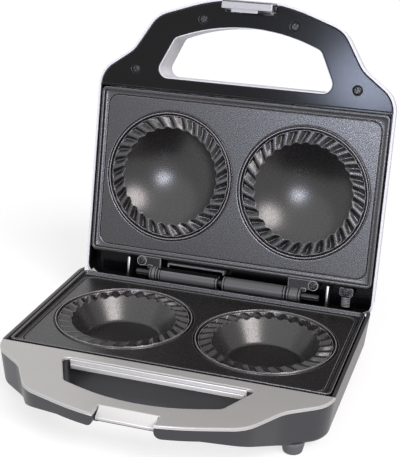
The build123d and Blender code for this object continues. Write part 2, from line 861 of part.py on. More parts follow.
def rear_slot():
    """Slot along the foot of the lid's rear wall that clears the hinge and the base."""
    half = base_half - slot_inset
    return box(-half, half, hinge_y + slot_clear, far, -far, slot_height)


def handle_screw_places():
    """Places of the four screws on the handle's inner panel."""
    return both_sides([(x, front - forward) for x, forward in handle_screws])


def lid_hole(grow, z0, z1):
    """Finger opening of the lid, grown by a wall, between two heights."""
    return slab(grown(hole_outline(0.0, hole_front_radius, hole_corner), grow), z0, z1)


def pocket(grow, z0, z1):
    """Room for the latch in the lid handle."""
    half = notch_half + grow
    return box(-half, half, -far, latch_axis_y + pocket_room + grow, z0, z1)


def lamp_places():
    """Places of the power and ready lamps."""
    return both_sides([(lamp_x, front + lamp_back)])


def lid_halves():
    """Silver handle shell and silver lid shell, split across the front of the plate."""
    body = lid_mass(0)
    cavity = lid_mass(lid_wall)
    cavity -= lid_hole(panel_lip - seat_gap, -far, panel_back + seat_gap)
    cavity -= lid_hole(hole_wall, panel_back + seat_gap, far)
    cavity -= pocket(lid_wall, panel_back, pocket_top + lid_wall)
    cavity -= box(-far, far, deck_rear - lid_wall, deck_rear + lid_wall, liner_top + seat_gap, far)
    for x, y in handle_screw_places():
        cavity -= rod(x, y, panel_back + panel_boss, far, post_radius)
    body -= cavity
    body -= lid_hole(0, -over, far)
    body -= pocket(0, -over, pocket_top)
    body -= rear_slot()
    body -= rod_x(-latch_pin_half, latch_pin_half, latch_axis_y, latch_pivot_height, latch_pin_radius)
    for x, y in handle_screw_places():
        body -= rod(x, y, 0, panel_screw_z + handle_screw_length + over, screw_radius)
    for x, y in lamp_places():
        body -= rod(x, y, 0, far, lens_radius + seat_gap)
    handle = body & box(-far, far, -far, deck_rear, -far, far)
    cover = body & box(-far, far, deck_rear, far, -far, far)
    return handle, cover


def handle_panel():
    """Black inner panel of the lid handle."""
    panel = slab(offset(lid_outline(), -panel_inset), case_gap, panel_back)
    panel &= box(-far, far, -far, deck_rear, 0, panel_back)
    panel -= lid_hole(panel_lip, 0, panel_back + over)
    panel -= box(-notch_half, notch_half, -far, latch_axis_y + pocket_room / 2, 0, panel_back + over)
    for x, y in handle_screw_places():
        panel += rod(x, y, panel_back, panel_back + panel_boss, post_radius)
        panel -= rod(x, y, 0, panel_back + 2 * panel_boss, screw_radius + screw_slack)
        panel -= rod(x, y, 0, panel_screw_z, screw_head_radius + screw_slack)
    return panel


def lid_liner():
    """Black inner frame round the upper plate, with the hinge bay behind it."""
    outline = offset(lid_outline(), -lid_wall - liner_gap)
    height = liner_top - liner_start
    front_y = deck_rear + case_gap
    ring = Pos(0, 0, liner_start) * extrude(outline, amount=height, taper=lid_draft)
    ring &= box(-far, far, front_y, far, -far, far)
    hollow = Pos(0, 0, liner_start) * extrude(offset(outline, -liner_wall), amount=height, taper=lid_draft)
    hollow &= box(-far, far, front_y + liner_wall, far, -far, far)
    bay_y = back + bay_gap
    hollow -= box(-far, far, bay_y, far, liner_top - liner_roof, liner_top)
    hollow -= box(-far, far, bay_y, bay_y + bay_wall, liner_top - bay_depth, liner_top)
    for x, y in plate_bosses():
        side = 1 if x > 0 else -1
        hollow -= box(x - side * lug_half, side * far, y - lug_half, y + lug_half, lug_z, lug_z + lug_wall)
    for x, y in hinge_screw_places():
        hollow -= rod(x, y, bracket_z + bracket_wall, liner_top, bracket_half)
    hollow -= rod(conduit_x, clamp_screw_y, conduit_clamp_z + conduit_clamp_wall, liner_top, bracket_half)
    body = ring - hollow - rear_slot()
    for x, y in plate_bosses():
        body -= rod(x, y, lug_z - over, lug_z + lug_wall + over, screw_radius + screw_slack)
    for x, y in hinge_screw_places():
        body -= rod(x, y, 0, bracket_z + bracket_wall + hinge_screw_length + over, screw_radius)
    body -= rod(conduit_x, clamp_screw_y, 0, conduit_clamp_z + conduit_screw_length + over, screw_radius)
    return body


def hinge_screw_places():
    """Places of the two screws that hold the lid's hinge brackets."""
    return both_sides([(hinge_screw_x, hinge_y - hinge_screw_forward)])


def hinge_brackets():
    """Lid knuckles with their screwed-on lugs."""
    solids = []
    y = hinge_y - hinge_screw_forward
    top = bracket_z + bracket_wall
    for (x0, x1), side in zip(knuckle_spans, (-1, 1)):
        outer = side * hinge_screw_x
        inner, end = (x1, x0) if side < 0 else (x0, x1)
        bracket = box(inner, outer, y - bracket_half, y + bracket_half, bracket_z, top)
        bracket += box(inner, end, y - bracket_half, hinge_y, bracket_z, top)
        bracket += rod(outer, y, bracket_z, top, bracket_half)
        bracket += rod_x(x0, x1, hinge_y, 0, knuckle_radius)
        bracket -= rod_x(x0 - over, x1 + over, hinge_y, 0, pin_radius + running_gap)
        bracket -= rod(outer, y, bracket_z - over, top + over, screw_radius + screw_slack)
        solids.append(bracket)
    return solids


def stop_arms():
    """Steel lugs whose ends come down on the base's rear edge when the lid is open."""
    y0 = back + arm_start
    toe_y = hinge_y + ledge_drop - arm_landing
    draft = liner_top * tan(radians(lid_draft))
    heel_y = lid_rear - lid_wall - liner_gap - liner_wall - draft - seat_gap
    low = liner_start
    top = liner_top - liner_roof - seat_gap
    points = [(y0, low), (toe_y, low), (toe_y, arm_toe), (heel_y, arm_toe), (heel_y, top), (y0, top)]
    arm = side_prism(points, arm_thickness / 2)
    return [Pos(side * arm_x, 0, 0) * arm for side in (-1, 1)]


def lead_cover():
    """Bent strip over the left barrel that hides the lid's leads."""
    x0, x1 = cover_span
    y = back + cover_back
    top = liner_top - liner_roof - seat_gap
    cover = box(x0, x1, y, y + cover_wall, cover_low, top)
    cover += box(x0, x0 + cover_wall, y, y + cover_flange, cover_low, top)
    cover += box(x1 - cover_wall, x1, y, y + cover_flange, cover_low, top)
    return cover


def conduit_clamp():
    """Small plate that clamps the lead sleeve in the hinge bay."""
    low = conduit_clamp_z
    high = low + conduit_clamp_wall
    half = conduit_clamp_half
    clamp = box(conduit_x - half, conduit_x + half, back + arm_start, clamp_screw_y + bracket_half,
                low, high)
    return clamp - rod(conduit_x, clamp_screw_y, low - over, high + over, screw_radius + screw_slack)


def lead_sleeve():
    """Sprung sleeve round the leads at the hinge, drawn as a ribbed tube."""
    y0 = clamp_screw_y + bracket_half + seat_gap
    y1 = hinge_y + sleeve_end
    rib_radius, tube_radius, bore_radius = sleeve_radii
    pitch = (y1 - y0) / sleeve_turns
    z = conduit_clamp_z + sleeve_radii[0] - over
    sleeve = rod_y(conduit_x, z, y0, y1, tube_radius)
    for i in range(sleeve_turns):
        rib_y = y0 + i * pitch
        sleeve += rod_y(conduit_x, z, rib_y, rib_y + pitch / 2, rib_radius)
    return sleeve - rod_y(conduit_x, z, -far, far, bore_radius)


def lamps():
    """Neon lamps under the lenses."""
    solids = []
    for x, y in lamp_places():
        top = crown_z(y) - lens_depth - seat_gap
        solids.append(rod(x, y, top - lamp_length, top, lamp_radius))
    return solids


def lenses():
    """Round lenses of the power and ready lamps."""
    solids = []
    for x, y in lamp_places():
        lens = rod(x, y, crown_z(y) - lens_depth, crown_z(y) + lens_proud, lens_radius)
        solids.append(fillet(lens.edges().sort_by(Axis.Z)[-1], lens_round))
    return solids


# ---------------------------------------------------------------- latch
def latch():
    """Sprung clip whose hook passes under the catch; it turns on two ears."""
    top = latch_pivot_height + latch_top
    hook_y = latch_face_y + latch_hook_reach
    points = [(latch_face_y, top), (latch_face_y, hook_bottom_z), (hook_y, hook_bottom_z)]
    points += [(hook_y, hook_top_z), (latch_back_y, hook_top_z), (latch_back_y, top)]
    body = side_prism(points, latch_half)
    low = latch_pivot_height - latch_ear_radius
    high = latch_pivot_height + latch_ear_radius
    for side in (-1, 1):
        x0 = side * (latch_half - latch_ear_inset) - latch_ear_width / 2
        x1 = x0 + latch_ear_width
        body += box(x0, x1, latch_back_y, latch_axis_y, low, high)
        body += rod_x(x0, x1, latch_axis_y, latch_pivot_height, latch_ear_radius)
    bore_radius = latch_pin_radius + running_gap
    return body - rod_x(-latch_half - over, latch_half + over, latch_axis_y, latch_pivot_height, bore_radius)


def latch_pin():
    """Pin of the latch, fixed in the lid handle."""
    return rod_x(-latch_pin_half, latch_pin_half, latch_axis_y, latch_pivot_height, latch_pin_radius)


def latch_spring():
    """Torsion spring round the latch pin, its coils drawn as a sleeve with two legs."""
    y = latch_axis_y
    z = latch_pivot_height
    end = spring_half
    start = spring_half - spring_wire
    leg_y = latch_back_y + 3 * seat_gap
    rear_y = latch_axis_y + pocket_room - seat_gap
    coil = rod_x(-end, end, y, z, spring_radius)
    coil -= rod_x(-far, far, y, z, latch_pin_radius + screw_slack)
    front_leg = box(-end, -start, leg_y, leg_y + spring_wire, z - latch_pivot_height, z)
    front_leg += box(-end, -start, leg_y, y - latch_pin_radius - seat_gap, z - 2 * spring_wire, z)
    half = spring_wire / 2
    rear_leg = box(start, end, y + latch_pin_radius + seat_gap, rear_y, z - half, z + half)
    return coil + front_leg + rear_leg


# ---------------------------------------------------------------- assembly
def as_list(item):
    """Solids of a piece, whether it is one body or several."""
    pieces = item if isinstance(item, (list, tuple)) else [item]
    return [solid for piece in pieces for solid in piece.solids()]


def flipped(item):
    """Mirror a piece across the rim plane, from the lower to the upper plate."""
    return [mirror(solid, Plane.XY) for solid in as_list(item)]


handle_shell, lid_shell = lid_halves()
barrel_screw_places = [(x, barrel_screw_y) for x in barrel_screw_x]
bracket_top = bracket_z + bracket_wall
conduit_screw_tip = conduit_clamp_z + conduit_screw_length

base_nodes = {
    "base_shell": base_shell(),
    "deck_panel": deck_panel(),
    "deck_screws": screws(deck_screw_places(), deck_seat_z, deck_top - deck_edge_round - seat_gap),
    "catch_plate": catch_plate(),
    "lower_plate": plate(False),
    "lower_heater": heater(),
    "lower_heater_clamps": heater_clamps(),
    "lower_clamp_screws": heater_clamp_screws(),
    "lower_reflector": reflector(False),
    "lower_reflector_screws": reflector_screws(False),
    "lower_plate_screws": screws(plate_bosses(), floor_z + screw_sink, under_z - seat_gap),
    "feet": feet(),
    "foot_screws": screws(feet_places(), foot_screw_z, floor_z + foot_post - case_wall - seat_gap),
    "hinge_barrels": hinge_barrels(),
    "barrel_screws": screws(barrel_screw_places, ledge_z + barrel_foot, ledge_z - case_wall),
    "hinge_pin": hinge_pin(),
    "thermostat": thermostat(),
    "terminal_block": terminal_block(),
    "base_leads": base_leads(),
    "cord_gland": cord_gland(),
}

lid_nodes = {
    "lid_shell": lid_shell,
    "handle_shell": handle_shell,
    "handle_panel": handle_panel(),
    "handle_screws": screws(handle_screw_places(), panel_screw_z, panel_screw_z + handle_screw_length),
    "lid_liner": lid_liner(),
    "upper_plate": flipped(plate(True)),
    "upper_heater": flipped(heater()),
    "upper_heater_clamps": flipped(heater_clamps()),
    "upper_clamp_screws": flipped(heater_clamp_screws()),
    "upper_reflector": flipped(reflector(True)),
    "upper_reflector_screws": flipped(reflector_screws(True)),
    "upper_plate_screws": screws(plate_bosses(), lug_z + lug_wall, -under_z + seat_gap),
    "thermal_fuse": flipped(thermal_fuse()),
    "fuse_clip": flipped(fuse_clip()),
    "hinge_brackets": hinge_brackets(),
    "hinge_screws": screws(hinge_screw_places(), bracket_z, bracket_top + hinge_screw_length),
    "stop_arms": stop_arms(),
    "lead_cover": lead_cover(),
    "conduit_clamp": conduit_clamp(),
    "conduit_screw": screw(conduit_x, clamp_screw_y, conduit_clamp_z, conduit_screw_tip),
    "lead_sleeve": lead_sleeve(),
    "indicator_lamps": lamps(),
    "indicator_lenses": lenses(),
    "latch_pin": latch_pin(),
    "latch_spring": latch_spring(),
    "latch": latch(),
}

hinge_line = Axis((0, hinge_y, 0), (1, 0, 0))
placed = {name: as_list(item) for name, item in base_nodes.items()}
for name, item in lid_nodes.items():
    placed[name] = [solid.rotate(hinge_line, -open_angle) for solid in as_list(item)]

boxes = [solid.bounding_box() for solids in placed.values() for solid in solids]
middle_y = (min(b.min.Y for b in boxes) + max(b.max.Y for b in boxes)) / 2
to_row = Pos(0, -middle_y, rim_height)

for name, solids in placed.items():
    solids = [solid.moved(to_row) for solid in solids]
    export_step(Compound(solids), f"parts/{name}.step")
    print(name, len(solids), round(sum(solid.volume for solid in solids) / 1000, 2), "cm3")

reach = latch_axis_y - hinge_y
turn = radians(-open_angle)
pivot_y = hinge_y + reach * cos(turn) - latch_pivot_height * sin(turn)
pivot_z = reach * sin(turn) + latch_pivot_height * cos(turn)
print("rim frame to row frame: y", round(-middle_y, 3), "z", rim_height)
print("hinge axis in the row frame: y", round(hinge_y - middle_y, 3), "z", rim_height)
print("latch axis in the row frame: y", round(pivot_y - middle_y, 3), "z", round(pivot_z + rim_height, 3))
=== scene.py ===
"""Electric pie maker: modelled pieces, finishes and stage round the packed frame."""
import json
import math

import bmesh
import bpy
from bpy.props import FloatProperty, FloatVectorProperty, IntProperty, PointerProperty
from bpy.types import Operator, Panel, PropertyGroup
from mathutils import Matrix, Vector


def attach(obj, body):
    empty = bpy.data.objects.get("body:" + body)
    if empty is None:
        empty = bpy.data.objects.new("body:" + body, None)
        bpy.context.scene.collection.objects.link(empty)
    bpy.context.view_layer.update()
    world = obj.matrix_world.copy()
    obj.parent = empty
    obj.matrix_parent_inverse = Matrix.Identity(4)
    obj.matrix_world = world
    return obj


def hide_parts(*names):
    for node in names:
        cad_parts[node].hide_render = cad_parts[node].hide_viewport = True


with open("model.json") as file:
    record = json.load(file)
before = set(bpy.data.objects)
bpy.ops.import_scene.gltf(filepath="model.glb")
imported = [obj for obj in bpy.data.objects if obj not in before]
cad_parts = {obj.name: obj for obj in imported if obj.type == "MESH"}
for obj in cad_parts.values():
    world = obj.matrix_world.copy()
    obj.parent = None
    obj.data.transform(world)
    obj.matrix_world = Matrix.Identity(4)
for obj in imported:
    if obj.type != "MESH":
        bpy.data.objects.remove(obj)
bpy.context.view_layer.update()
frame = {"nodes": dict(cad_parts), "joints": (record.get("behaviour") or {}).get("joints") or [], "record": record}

bl_info = {
    "name": "Electric pie maker",
    "version": (1, 0, 0),
    "blender": (4, 5, 0),
    "location": "View3D > Sidebar > Pie Maker",
    "description": "Models and finishes a two-pie electric pie maker round its packed frame",
    "category": "Add Mesh",
}

MM = 0.001
NODES = frame["nodes"]
SLOT_OF = {part["node"]: part["material_slot"] for part in frame["record"]["subparts"]}
JOINTS = {joint["name"]: joint for joint in frame["joints"]}


# ---------------- finishes
MOTTLE = 60.0  # mm across a broad patch of shade
NOISE_LOW, NOISE_HIGH = 0.44, 0.56  # range of a noise that runs from a colour to its shade
EDGE_FROM, EDGE_TO = 0.25, 0.9  # edge attribute at which the painted highlight on an edge starts to show, and is full
CRANNY_FROM, CRANNY_TO = -0.05, -0.9  # the same for the painted shade in a crease


def linear(code):
    """Linear colour, with alpha, of an sRGB hex value."""
    parts = [int(code[i:i + 2], 16) / 255 for i in (0, 2, 4)]
    return (*(c / 12.92 if c <= 0.04045 else ((c + 0.055) / 1.055) ** 2.4 for c in parts), 1.0)


def node(tree, kind, links=None, **settings):
    """Adds a node; a setting is a property of the node or else an input, links go to named inputs."""
    made = tree.nodes.new(kind)
    for key, value in settings.items():
        if hasattr(made, key):
            setattr(made, key, value)
    for key, value in settings.items():
        if not hasattr(made, key):
            made.inputs[int(key[1:]) if key[1:].isdigit() else key.replace("_", " ")].default_value = value
    for key, source in (links or {}).items():
        tree.links.new(source, made.inputs[key])
    return made


def cleared(owner):
    """Emptied node tree of a material or world."""
    owner.use_nodes = True
    owner.node_tree.nodes.clear()
    return owner.node_tree


def finish(name, colour, rough, grain, shade=0.9, depth=0.01, spread=0.04, speckle=0.3, metallic=0.0,
           ior=1.5, specular=0.5, edge=None, crease_shade=None):
    """Surface of a linear colour with broad patches of its shade, and speckles and bumps of grain mm.

    Where a piece has the edge attribute, its ridges turn towards edge as a painted highlight, and its creases
    towards the crease colour as painted shade.
    """
    made = bpy.data.materials.new(name)
    tree = cleared(made)
    place = node(tree, "ShaderNodeTexCoord").outputs["Object"]
    broad = node(tree, "ShaderNodeTexNoise", {"Vector": place}, Scale=1 / (MOTTLE * MM), Detail=3.0)
    fine = node(tree, "ShaderNodeTexNoise", {"Vector": place}, Scale=1 / (grain * MM), Detail=2.0)
    mixed = node(tree, "ShaderNodeMix", {2: broad.outputs["Fac"], 3: fine.outputs["Fac"]},
                 data_type="FLOAT", Factor=speckle)
    drift = node(tree, "ShaderNodeMapRange", {"Value": mixed.outputs[0]},
                 From_Min=NOISE_LOW, From_Max=NOISE_HIGH)
    darker = (*(c * shade for c in colour[:3]), 1.0)
    tint = node(tree, "ShaderNodeMix", {"Factor": drift.outputs["Result"]}, data_type="RGBA",
                _6=tuple(colour), _7=darker).outputs[2]
    # convex edges take a painted highlight colour, creases a painted shade colour
    for target, start, end in ((edge, EDGE_FROM, EDGE_TO), (crease_shade, CRANNY_FROM, CRANNY_TO)):
        if target:
            bend = node(tree, "ShaderNodeAttribute", attribute_name="edge").outputs["Fac"]
            share = node(tree, "ShaderNodeMapRange", {"Value": bend}, From_Min=start, From_Max=end)
            tint = node(tree, "ShaderNodeMix", {"Factor": share.outputs["Result"], 6: tint},
                        data_type="RGBA", _7=linear(target)).outputs[2]
    gloss = node(tree, "ShaderNodeMapRange", {"Value": fine.outputs["Fac"]}, From_Min=0.3, From_Max=0.7,
                 To_Min=rough - spread, To_Max=rough + spread)
    bump = node(tree, "ShaderNodeBump", {"Height": fine.outputs["Fac"]}, Strength=1.0, Distance=depth * MM)
    shader = node(tree, "ShaderNodeBsdfPrincipled",
                  {"Base Color": tint, "Roughness": gloss.outputs["Result"],
                   "Normal": bump.outputs["Normal"]},
                  Metallic=metallic, IOR=ior, Specular_IOR_Level=specular)
    node(tree, "ShaderNodeOutputMaterial", {"Surface": shader.outputs["BSDF"]})
    return made


def all_finishes(look):
    """The finish of each material slot, and the latch's own."""
    return {
        # ABS under a graphite lacquer with metal flakes: satin, cool and dark, its grain just felt
        "graphite_plastic": finish("lacquered_abs_graphite", look.case, 0.36, 0.5, depth=0.006,
                                   metallic=0.15),
        # ABS sprayed silver: satin paint whose flakes catch the light, with a painted highlight along its edges
        # and painted shade in its creases
        "silver_plastic": finish("painted_abs_silver", look.deck, 0.36, 0.6, shade=0.93, depth=0.004,
                                 speckle=0.8, metallic=0.3, edge="F4F4F4", crease_shade="6E6E6C"),
        # the same paint with less flake: paler, with a soft wide highlight
        "light_silver_plastic": finish("painted_abs_pale_silver", look.lid, 0.42, 0.6, shade=0.95,
                                       depth=0.004, speckle=0.8, metallic=0.08),
        # the same paint with more flake, in a greyer copy that paints in shade, with a painted highlight on its
        # corners and painted shade in its creases
        "latch_shaded_silver": finish("painted_abs_dull_silver", look.latch, 0.42, 0.6, shade=0.93, depth=0.004,
                               speckle=0.8, metallic=0.2, edge="E8E8E8", crease_shade="5E5E5C"),
        # ABS moulded in a polished tool: black with a clear, faint reflection, and a painted highlight along its
        # edges
        "black_plastic": finish("polished_abs_black", look.panel, 0.12, 0.8, depth=0.001, spread=0.02,
                                specular=0.13, edge="55565A"),
        # glass-filled nylon, matt moulded: nearly black, with a soft grey painted highlight along its edges and
        # painted shade in its creases
        "dark_plastic": finish("moulded_nylon_dark", linear("0F0F10"), 0.32, 0.5, specular=0.3,
                               edge="A6A6A8", crease_shade="020202"),
        # die-cast aluminium sprayed with a dark fluoropolymer: satin, freckled with mica, with a painted highlight
        # on its ridges and painted shade in its creases; the freckles are drawn at 1 mm, coarser than the real 0.2
        # mm, so that they show
        "non_stick_aluminium": finish("non_stick_cast_aluminium", look.plates, 0.28, 1.0, shade=0.3,
                                      depth=0.03, spread=0.07, speckle=0.94, specular=0.66, edge="A29EA2",
                                      crease_shade="010101"),
        # sheet and wire steel, zinc plated: a grey mirror with a soft bloom
        "steel": finish("zinc_plated_steel", linear("8E8E8C"), 0.3, 0.4, metallic=1.0),
        # steel with a black oxide skin: nearly black, with a painted highlight on its edges and painted shade in
        # its creases
        "dark_steel": finish("blackened_steel", linear("101012"), 0.26, 0.4, specular=0.4, edge="8C8C90",
                             crease_shade="010101"),
        # stainless sheath tinted straw by heat: a warm, dull metal
        "heater_steel": finish("heat_tinted_steel_sheath", linear("8A8074"), 0.4, 0.6, metallic=1.0),
        # moulded phenolic resin: matt cream
        "phenolic": finish("moulded_phenolic_cream", linear("D8CFB6"), 0.5, 0.6),
        # silicone sleeve drawn over the leads: soft and chalky
        "silicone": finish("silicone_sleeved_lead", linear("CFC9BC"), 0.55, 0.5),
        # moulded grey rubber: dull, with a faint bloom and a painted highlight on its edges
        "rubber": finish("moulded_rubber_grey", linear("5C5C5E"), 0.62, 0.5, edge="8A8A8C"),
        # neon lamp under its lens: clear warm glass
        "lamp_glass": finish("neon_lamp_glass", linear("F0C8A0"), 0.08, 1.0, depth=0.001),
        # polycarbonate lens, polished: red, with a sharp highlight
        "red_lens": finish("moulded_polycarbonate_red", linear("B81E14"), 0.12, 1.0, depth=0.002, ior=1.58),
    }


FINISHES = {}
# pieces whose coat differs from the rest of their slot
COATS = {"lid_shell": "light_silver_plastic", "handle_shell": "light_silver_plastic",
         "lid_liner": "black_plastic", "sloping_catch": "silver_plastic", "sprung_latch": "latch_shaded_silver"}


# ---------------- mesh helpers, in millimetres
MERGE = 0.002  # vertices this near each other are one
SHARP = math.radians(35)  # faces that meet at more than this keep a hard edge between them
EDGE_REACH = 1.2  # an edge rounded by this radius or less counts fully as an edge
SHELF = 0.4  # flat ring inside the rim of a face
KNEE = 0.3  # share of an easing's width that its middle lies inside

# plates' own place: origin midway between them with the lid shut, Y towards the hinge
HINGE = Vector(JOINTS["lid_hinge"]["pos_m"]) / MM
OPENING = math.radians(JOINTS["lid_hinge"]["range_deg"][1])
HINGE_BACK = 82.4  # hinge axis behind the middle of the plates
BASE_PLACE = Matrix.Scale(MM, 4) @ Matrix.Translation(HINGE - Vector((0, HINGE_BACK, 0)))
LID_PLACE = (Matrix.Scale(MM, 4) @ Matrix.Translation(HINGE) @ Matrix.Rotation(-OPENING, 4, "X")
             @ Matrix.Translation((0, -HINGE_BACK, 0)))
PLACES = {"base": BASE_PLACE, "lid": LID_PLACE, "latch": LID_PLACE}
ALONG_X = Matrix.Rotation(math.pi / 2, 4, "Y")
ALONG_Y = Matrix.Rotation(-math.pi / 2, 4, "X")
SIDEWAYS = Matrix(((0, 0, 1, 0), (1, 0, 0, 0), (0, 1, 0, 0), (0, 0, 0, 1)))  # plan (y, z) raised along X


def shown(name, data):
    """New object of this data in the scene."""
    made = bpy.data.objects.new(name, data)
    bpy.context.scene.collection.objects.link(made)
    return made


def ring(bm, points, height=None):
    """Vertices at these points; a flat point takes the height."""
    return [bm.verts.new((*p, height) if height is not None else p) for p in points]


def loft(bm, rings, closed=True):
    """Faces between rings of equal length."""
    for low, high in zip(rings, rings[1:]):
        for i in range(len(low) - (0 if closed else 1)):
            j = (i + 1) % len(low)
            corners = [low[i], low[j], high[j], high[i]]
            bm.faces.new([c for k, c in enumerate(corners) if c not in corners[:k]])


def edges_of(bm, loop):
    """Edges of a closed loop of vertices."""
    pairs = zip(loop, loop[1:] + loop[:1])
    return [bm.edges.get(pair) or bm.edges.new(pair) for pair in pairs]


def fill(bm, *loops):
    """Flat face inside the first loop and outside the others, with a crisp rim."""
    edges = [edge for loop in loops for edge in edges_of(bm, loop)]
    for edge in edges:
        edge.smooth = False
    bmesh.ops.triangle_fill(bm, use_beauty=True, edges=edges)


def circle(radius, count, centre=(0.0, 0.0)):
    """Points of a circle in the plan."""
    turns = [math.tau * i / count for i in range(count)]
    return [(centre[0] + radius * math.cos(t), centre[1] + radius * math.sin(t)) for t in turns]


def moved(bm, known, matrix):
    """Moves the vertices that aren't among the known ones."""
    bmesh.ops.transform(bm, matrix=matrix, verts=[vert for vert in bm.verts if vert not in known])


def lathe(bm, profile, count, centre=(0.0, 0.0)):
    """Rings of a turned profile of (radius, height); a radius of 0 closes it with a fan."""
    rings = []
    for radius, height in profile:
        if radius:
            rings.append(ring(bm, circle(radius, count, centre), height))
        else:
            rings.append([bm.verts.new((*centre, height))] * count)
    loft(bm, rings)
    return rings


def rounded(corners, count=6):
    """Closed outline whose corners (x, y, radius) are rounded with count steps each."""
    points = []
    for i, (x, y, radius) in enumerate(corners):
        if not radius:
            points.append((x, y))
            continue
        here = Vector((x, y))
        back = (Vector(corners[i - 1][:2]) - here).normalized()
        ahead = (Vector(corners[(i + 1) % len(corners)][:2]) - here).normalized()
        half = math.acos(max(-1.0, min(1.0, back.dot(ahead)))) / 2
        middle = here + (back + ahead).normalized() * radius / math.sin(half)
        start = here + back * radius / math.tan(half) - middle
        end = here + ahead * radius / math.tan(half) - middle
        sweep = start.angle_signed(end)
        for k in range(count + 1):
            turned = start.copy()
            turned.rotate(Matrix.Rotation(-sweep * k / count, 2))
            points.append(tuple(middle + turned))
    return points


def inset(points, distance):
    """Counter-clockwise outline moved inwards, or outwards if negative, with mitred corners."""
    inner = []
    for i, point in enumerate(points):
        before = Vector(point) - Vector(points[i - 1])
        after = Vector(points[(i + 1) % len(points)]) - Vector(point)
        a = Vector((-before.y, before.x)).normalized()
        b = Vector((-after.y, after.x)).normalized()
        side = (a + b) / max(0.3, 1 + a.dot(b))
        inner.append((point[0] + side.x * distance, point[1] + side.y * distance))
    return inner


def rectangle(width, depth, radius, count=6):
    """Rounded rectangle about the middle, counter-clockwise."""
    x, y = width / 2, depth / 2
    return rounded([(x, -y, radius), (x, y, radius), (-x, y, radius), (-x, -y, radius)], count)


def slab(bm, outline, holes, low, high, under=0.3, over=0.3, shelf=SHELF):
    """Plate of a counter-clockwise outline with holes, between two heights, its edges eased both sides.

    A flat shelf inside each rim keeps the painted highlight on the edges off the face.
    """
    steps = [(under + shelf, low), (under, low), (under * KNEE, low + under * KNEE), (0, low + under),
             (0, high - over), (over * KNEE, high - over * KNEE), (over, high), (over + shelf, high)]
    ends = []
    for points, side in [(outline, 1)] + [(hole, -1) for hole in holes]:
        rings = [ring(bm, inset(points, side * amount), z) for amount, z in steps]
        loft(bm, rings)
        ends.append((rings[0], rings[-1]))
    fill(bm, *[first for first, last in ends])
    fill(bm, *[last for first, last in ends])


def block(bm, x0, x1, y0, y1, low, high, ease=0.3, corner=0.5):
    """Box between two corners, with eased edges."""
    width, depth = abs(x1 - x0), abs(y1 - y0)
    plan = [(x + (x0 + x1) / 2, y + (y0 + y1) / 2) for x, y in rectangle(width, depth, corner, 3)]
    slab(bm, plan, [], low, high, ease, ease, min(SHELF, (min(width, depth) / 2 - ease) / 2))


def turned_x(bm, profile, y, height, count=32):
    """Turned profile of (place along X, radius), about a line along X."""
    known = set(bm.verts)
    lathe(bm, [(radius, x) for x, radius in profile], count)
    moved(bm, known, Matrix.Translation((0, y, height)) @ ALONG_X)


def finished(bm, name, slot, body, *stands_for, tone=None, place=None):
    """Turns the collected faces into a piece on a body, in that body's place, standing for its nodes."""
    bmesh.ops.remove_doubles(bm, verts=bm.verts, dist=MERGE)
    bmesh.ops.recalc_face_normals(bm, faces=bm.faces)
    bm.normal_update()
    # edge attribute: painted highlight on convex edges, painted shade in creases and wherever tone darkens
    edge = bm.verts.layers.float.new("edge")
    for vert in bm.verts:
        bends = [vert.normal.dot(vert.co - e.other_vert(vert).co) / max(0.01, e.calc_length() ** 2)
                 for e in vert.link_edges]
        painted_light_and_shade = EDGE_REACH * sum(bends) / max(1, len(bends)) + (tone(vert.co) if tone else 0.0)
        vert[edge] = max(-1.0, min(1.0, painted_light_and_shade))
    for line in bm.edges:
        line.smooth = line.smooth and line.calc_face_angle(0.0) < SHARP
    for face in bm.faces:
        face.smooth = True
    bm.transform(place or PLACES[body])
    mesh = bpy.data.meshes.new(name)
    bm.to_mesh(mesh)
    bm.free()
    mesh.materials.append(FINISHES[COATS.get(name, slot)])
    piece = shown(name, mesh)
    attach(piece, body)
    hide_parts(*stands_for)


# ---------------- Geometry Nodes
def new_tree(name, inputs):
    """Geometry tree with these named inputs, a finish and one output; returns it and its inputs."""
    tree = bpy.data.node_groups.new(name, "GeometryNodeTree")
    for label, kind in {**inputs, "Finish": "Material"}.items():
        tree.interface.new_socket(label, in_out="INPUT", socket_type="NodeSocket" + kind)
    tree.interface.new_socket("Result", in_out="OUTPUT", socket_type="NodeSocketGeometry")
    return tree, node(tree, "NodeGroupInput").outputs


def close_tree(tree, given, made):
    """Realizes what a tree has made, and gives it its finish."""
    whole = node(tree, "GeometryNodeRealizeInstances", {"Geometry": made.outputs[0]})
    coated = node(tree, "GeometryNodeSetMaterial",
                  {"Geometry": whole.outputs[0], "Material": given["Finish"]})
    node(tree, "NodeGroupOutput", {"Result": coated.outputs[0]})
    return tree


def run_tree(tree, start, values):
    """Plain mesh that the tree makes of a mesh, its modifier gone."""
    thing = shown(tree.name, start)
    modifier = thing.modifiers.new(tree.name, "NODES")
    modifier.node_group = tree
    for socket in tree.interface.items_tree:
        if socket.in_out == "INPUT" and socket.name in values:
            modifier[socket.identifier] = values[socket.name]
    bpy.context.view_layer.update()
    depsgraph = bpy.context.evaluated_depsgraph_get()
    result = bpy.data.meshes.new_from_object(thing.evaluated_get(depsgraph))
    thing.modifiers.remove(modifier)
    bpy.data.objects.remove(thing)
    return result


def wedge_tree():
    """Repeats a wedge round the upright axis."""
    tree, given = new_tree("wedges_round_an_axis", {"Wedge": "Geometry", "Count": "Int"})
    points = node(tree, "GeometryNodePoints", {"Count": given["Count"]})
    index = node(tree, "GeometryNodeInputIndex")
    step = node(tree, "ShaderNodeMath", {1: given["Count"]}, operation="DIVIDE", _0=math.tau)
    turn = node(tree, "ShaderNodeMath", {0: index.outputs[0], 1: step.outputs[0]}, operation="MULTIPLY")
    about = node(tree, "ShaderNodeCombineXYZ", {"Z": turn.outputs[0]})
    placed = node(tree, "GeometryNodeInstanceOnPoints",
                  {"Points": points.outputs[0], "Instance": given["Wedge"], "Rotation": about.outputs[0]})
    return close_tree(tree, given, placed)


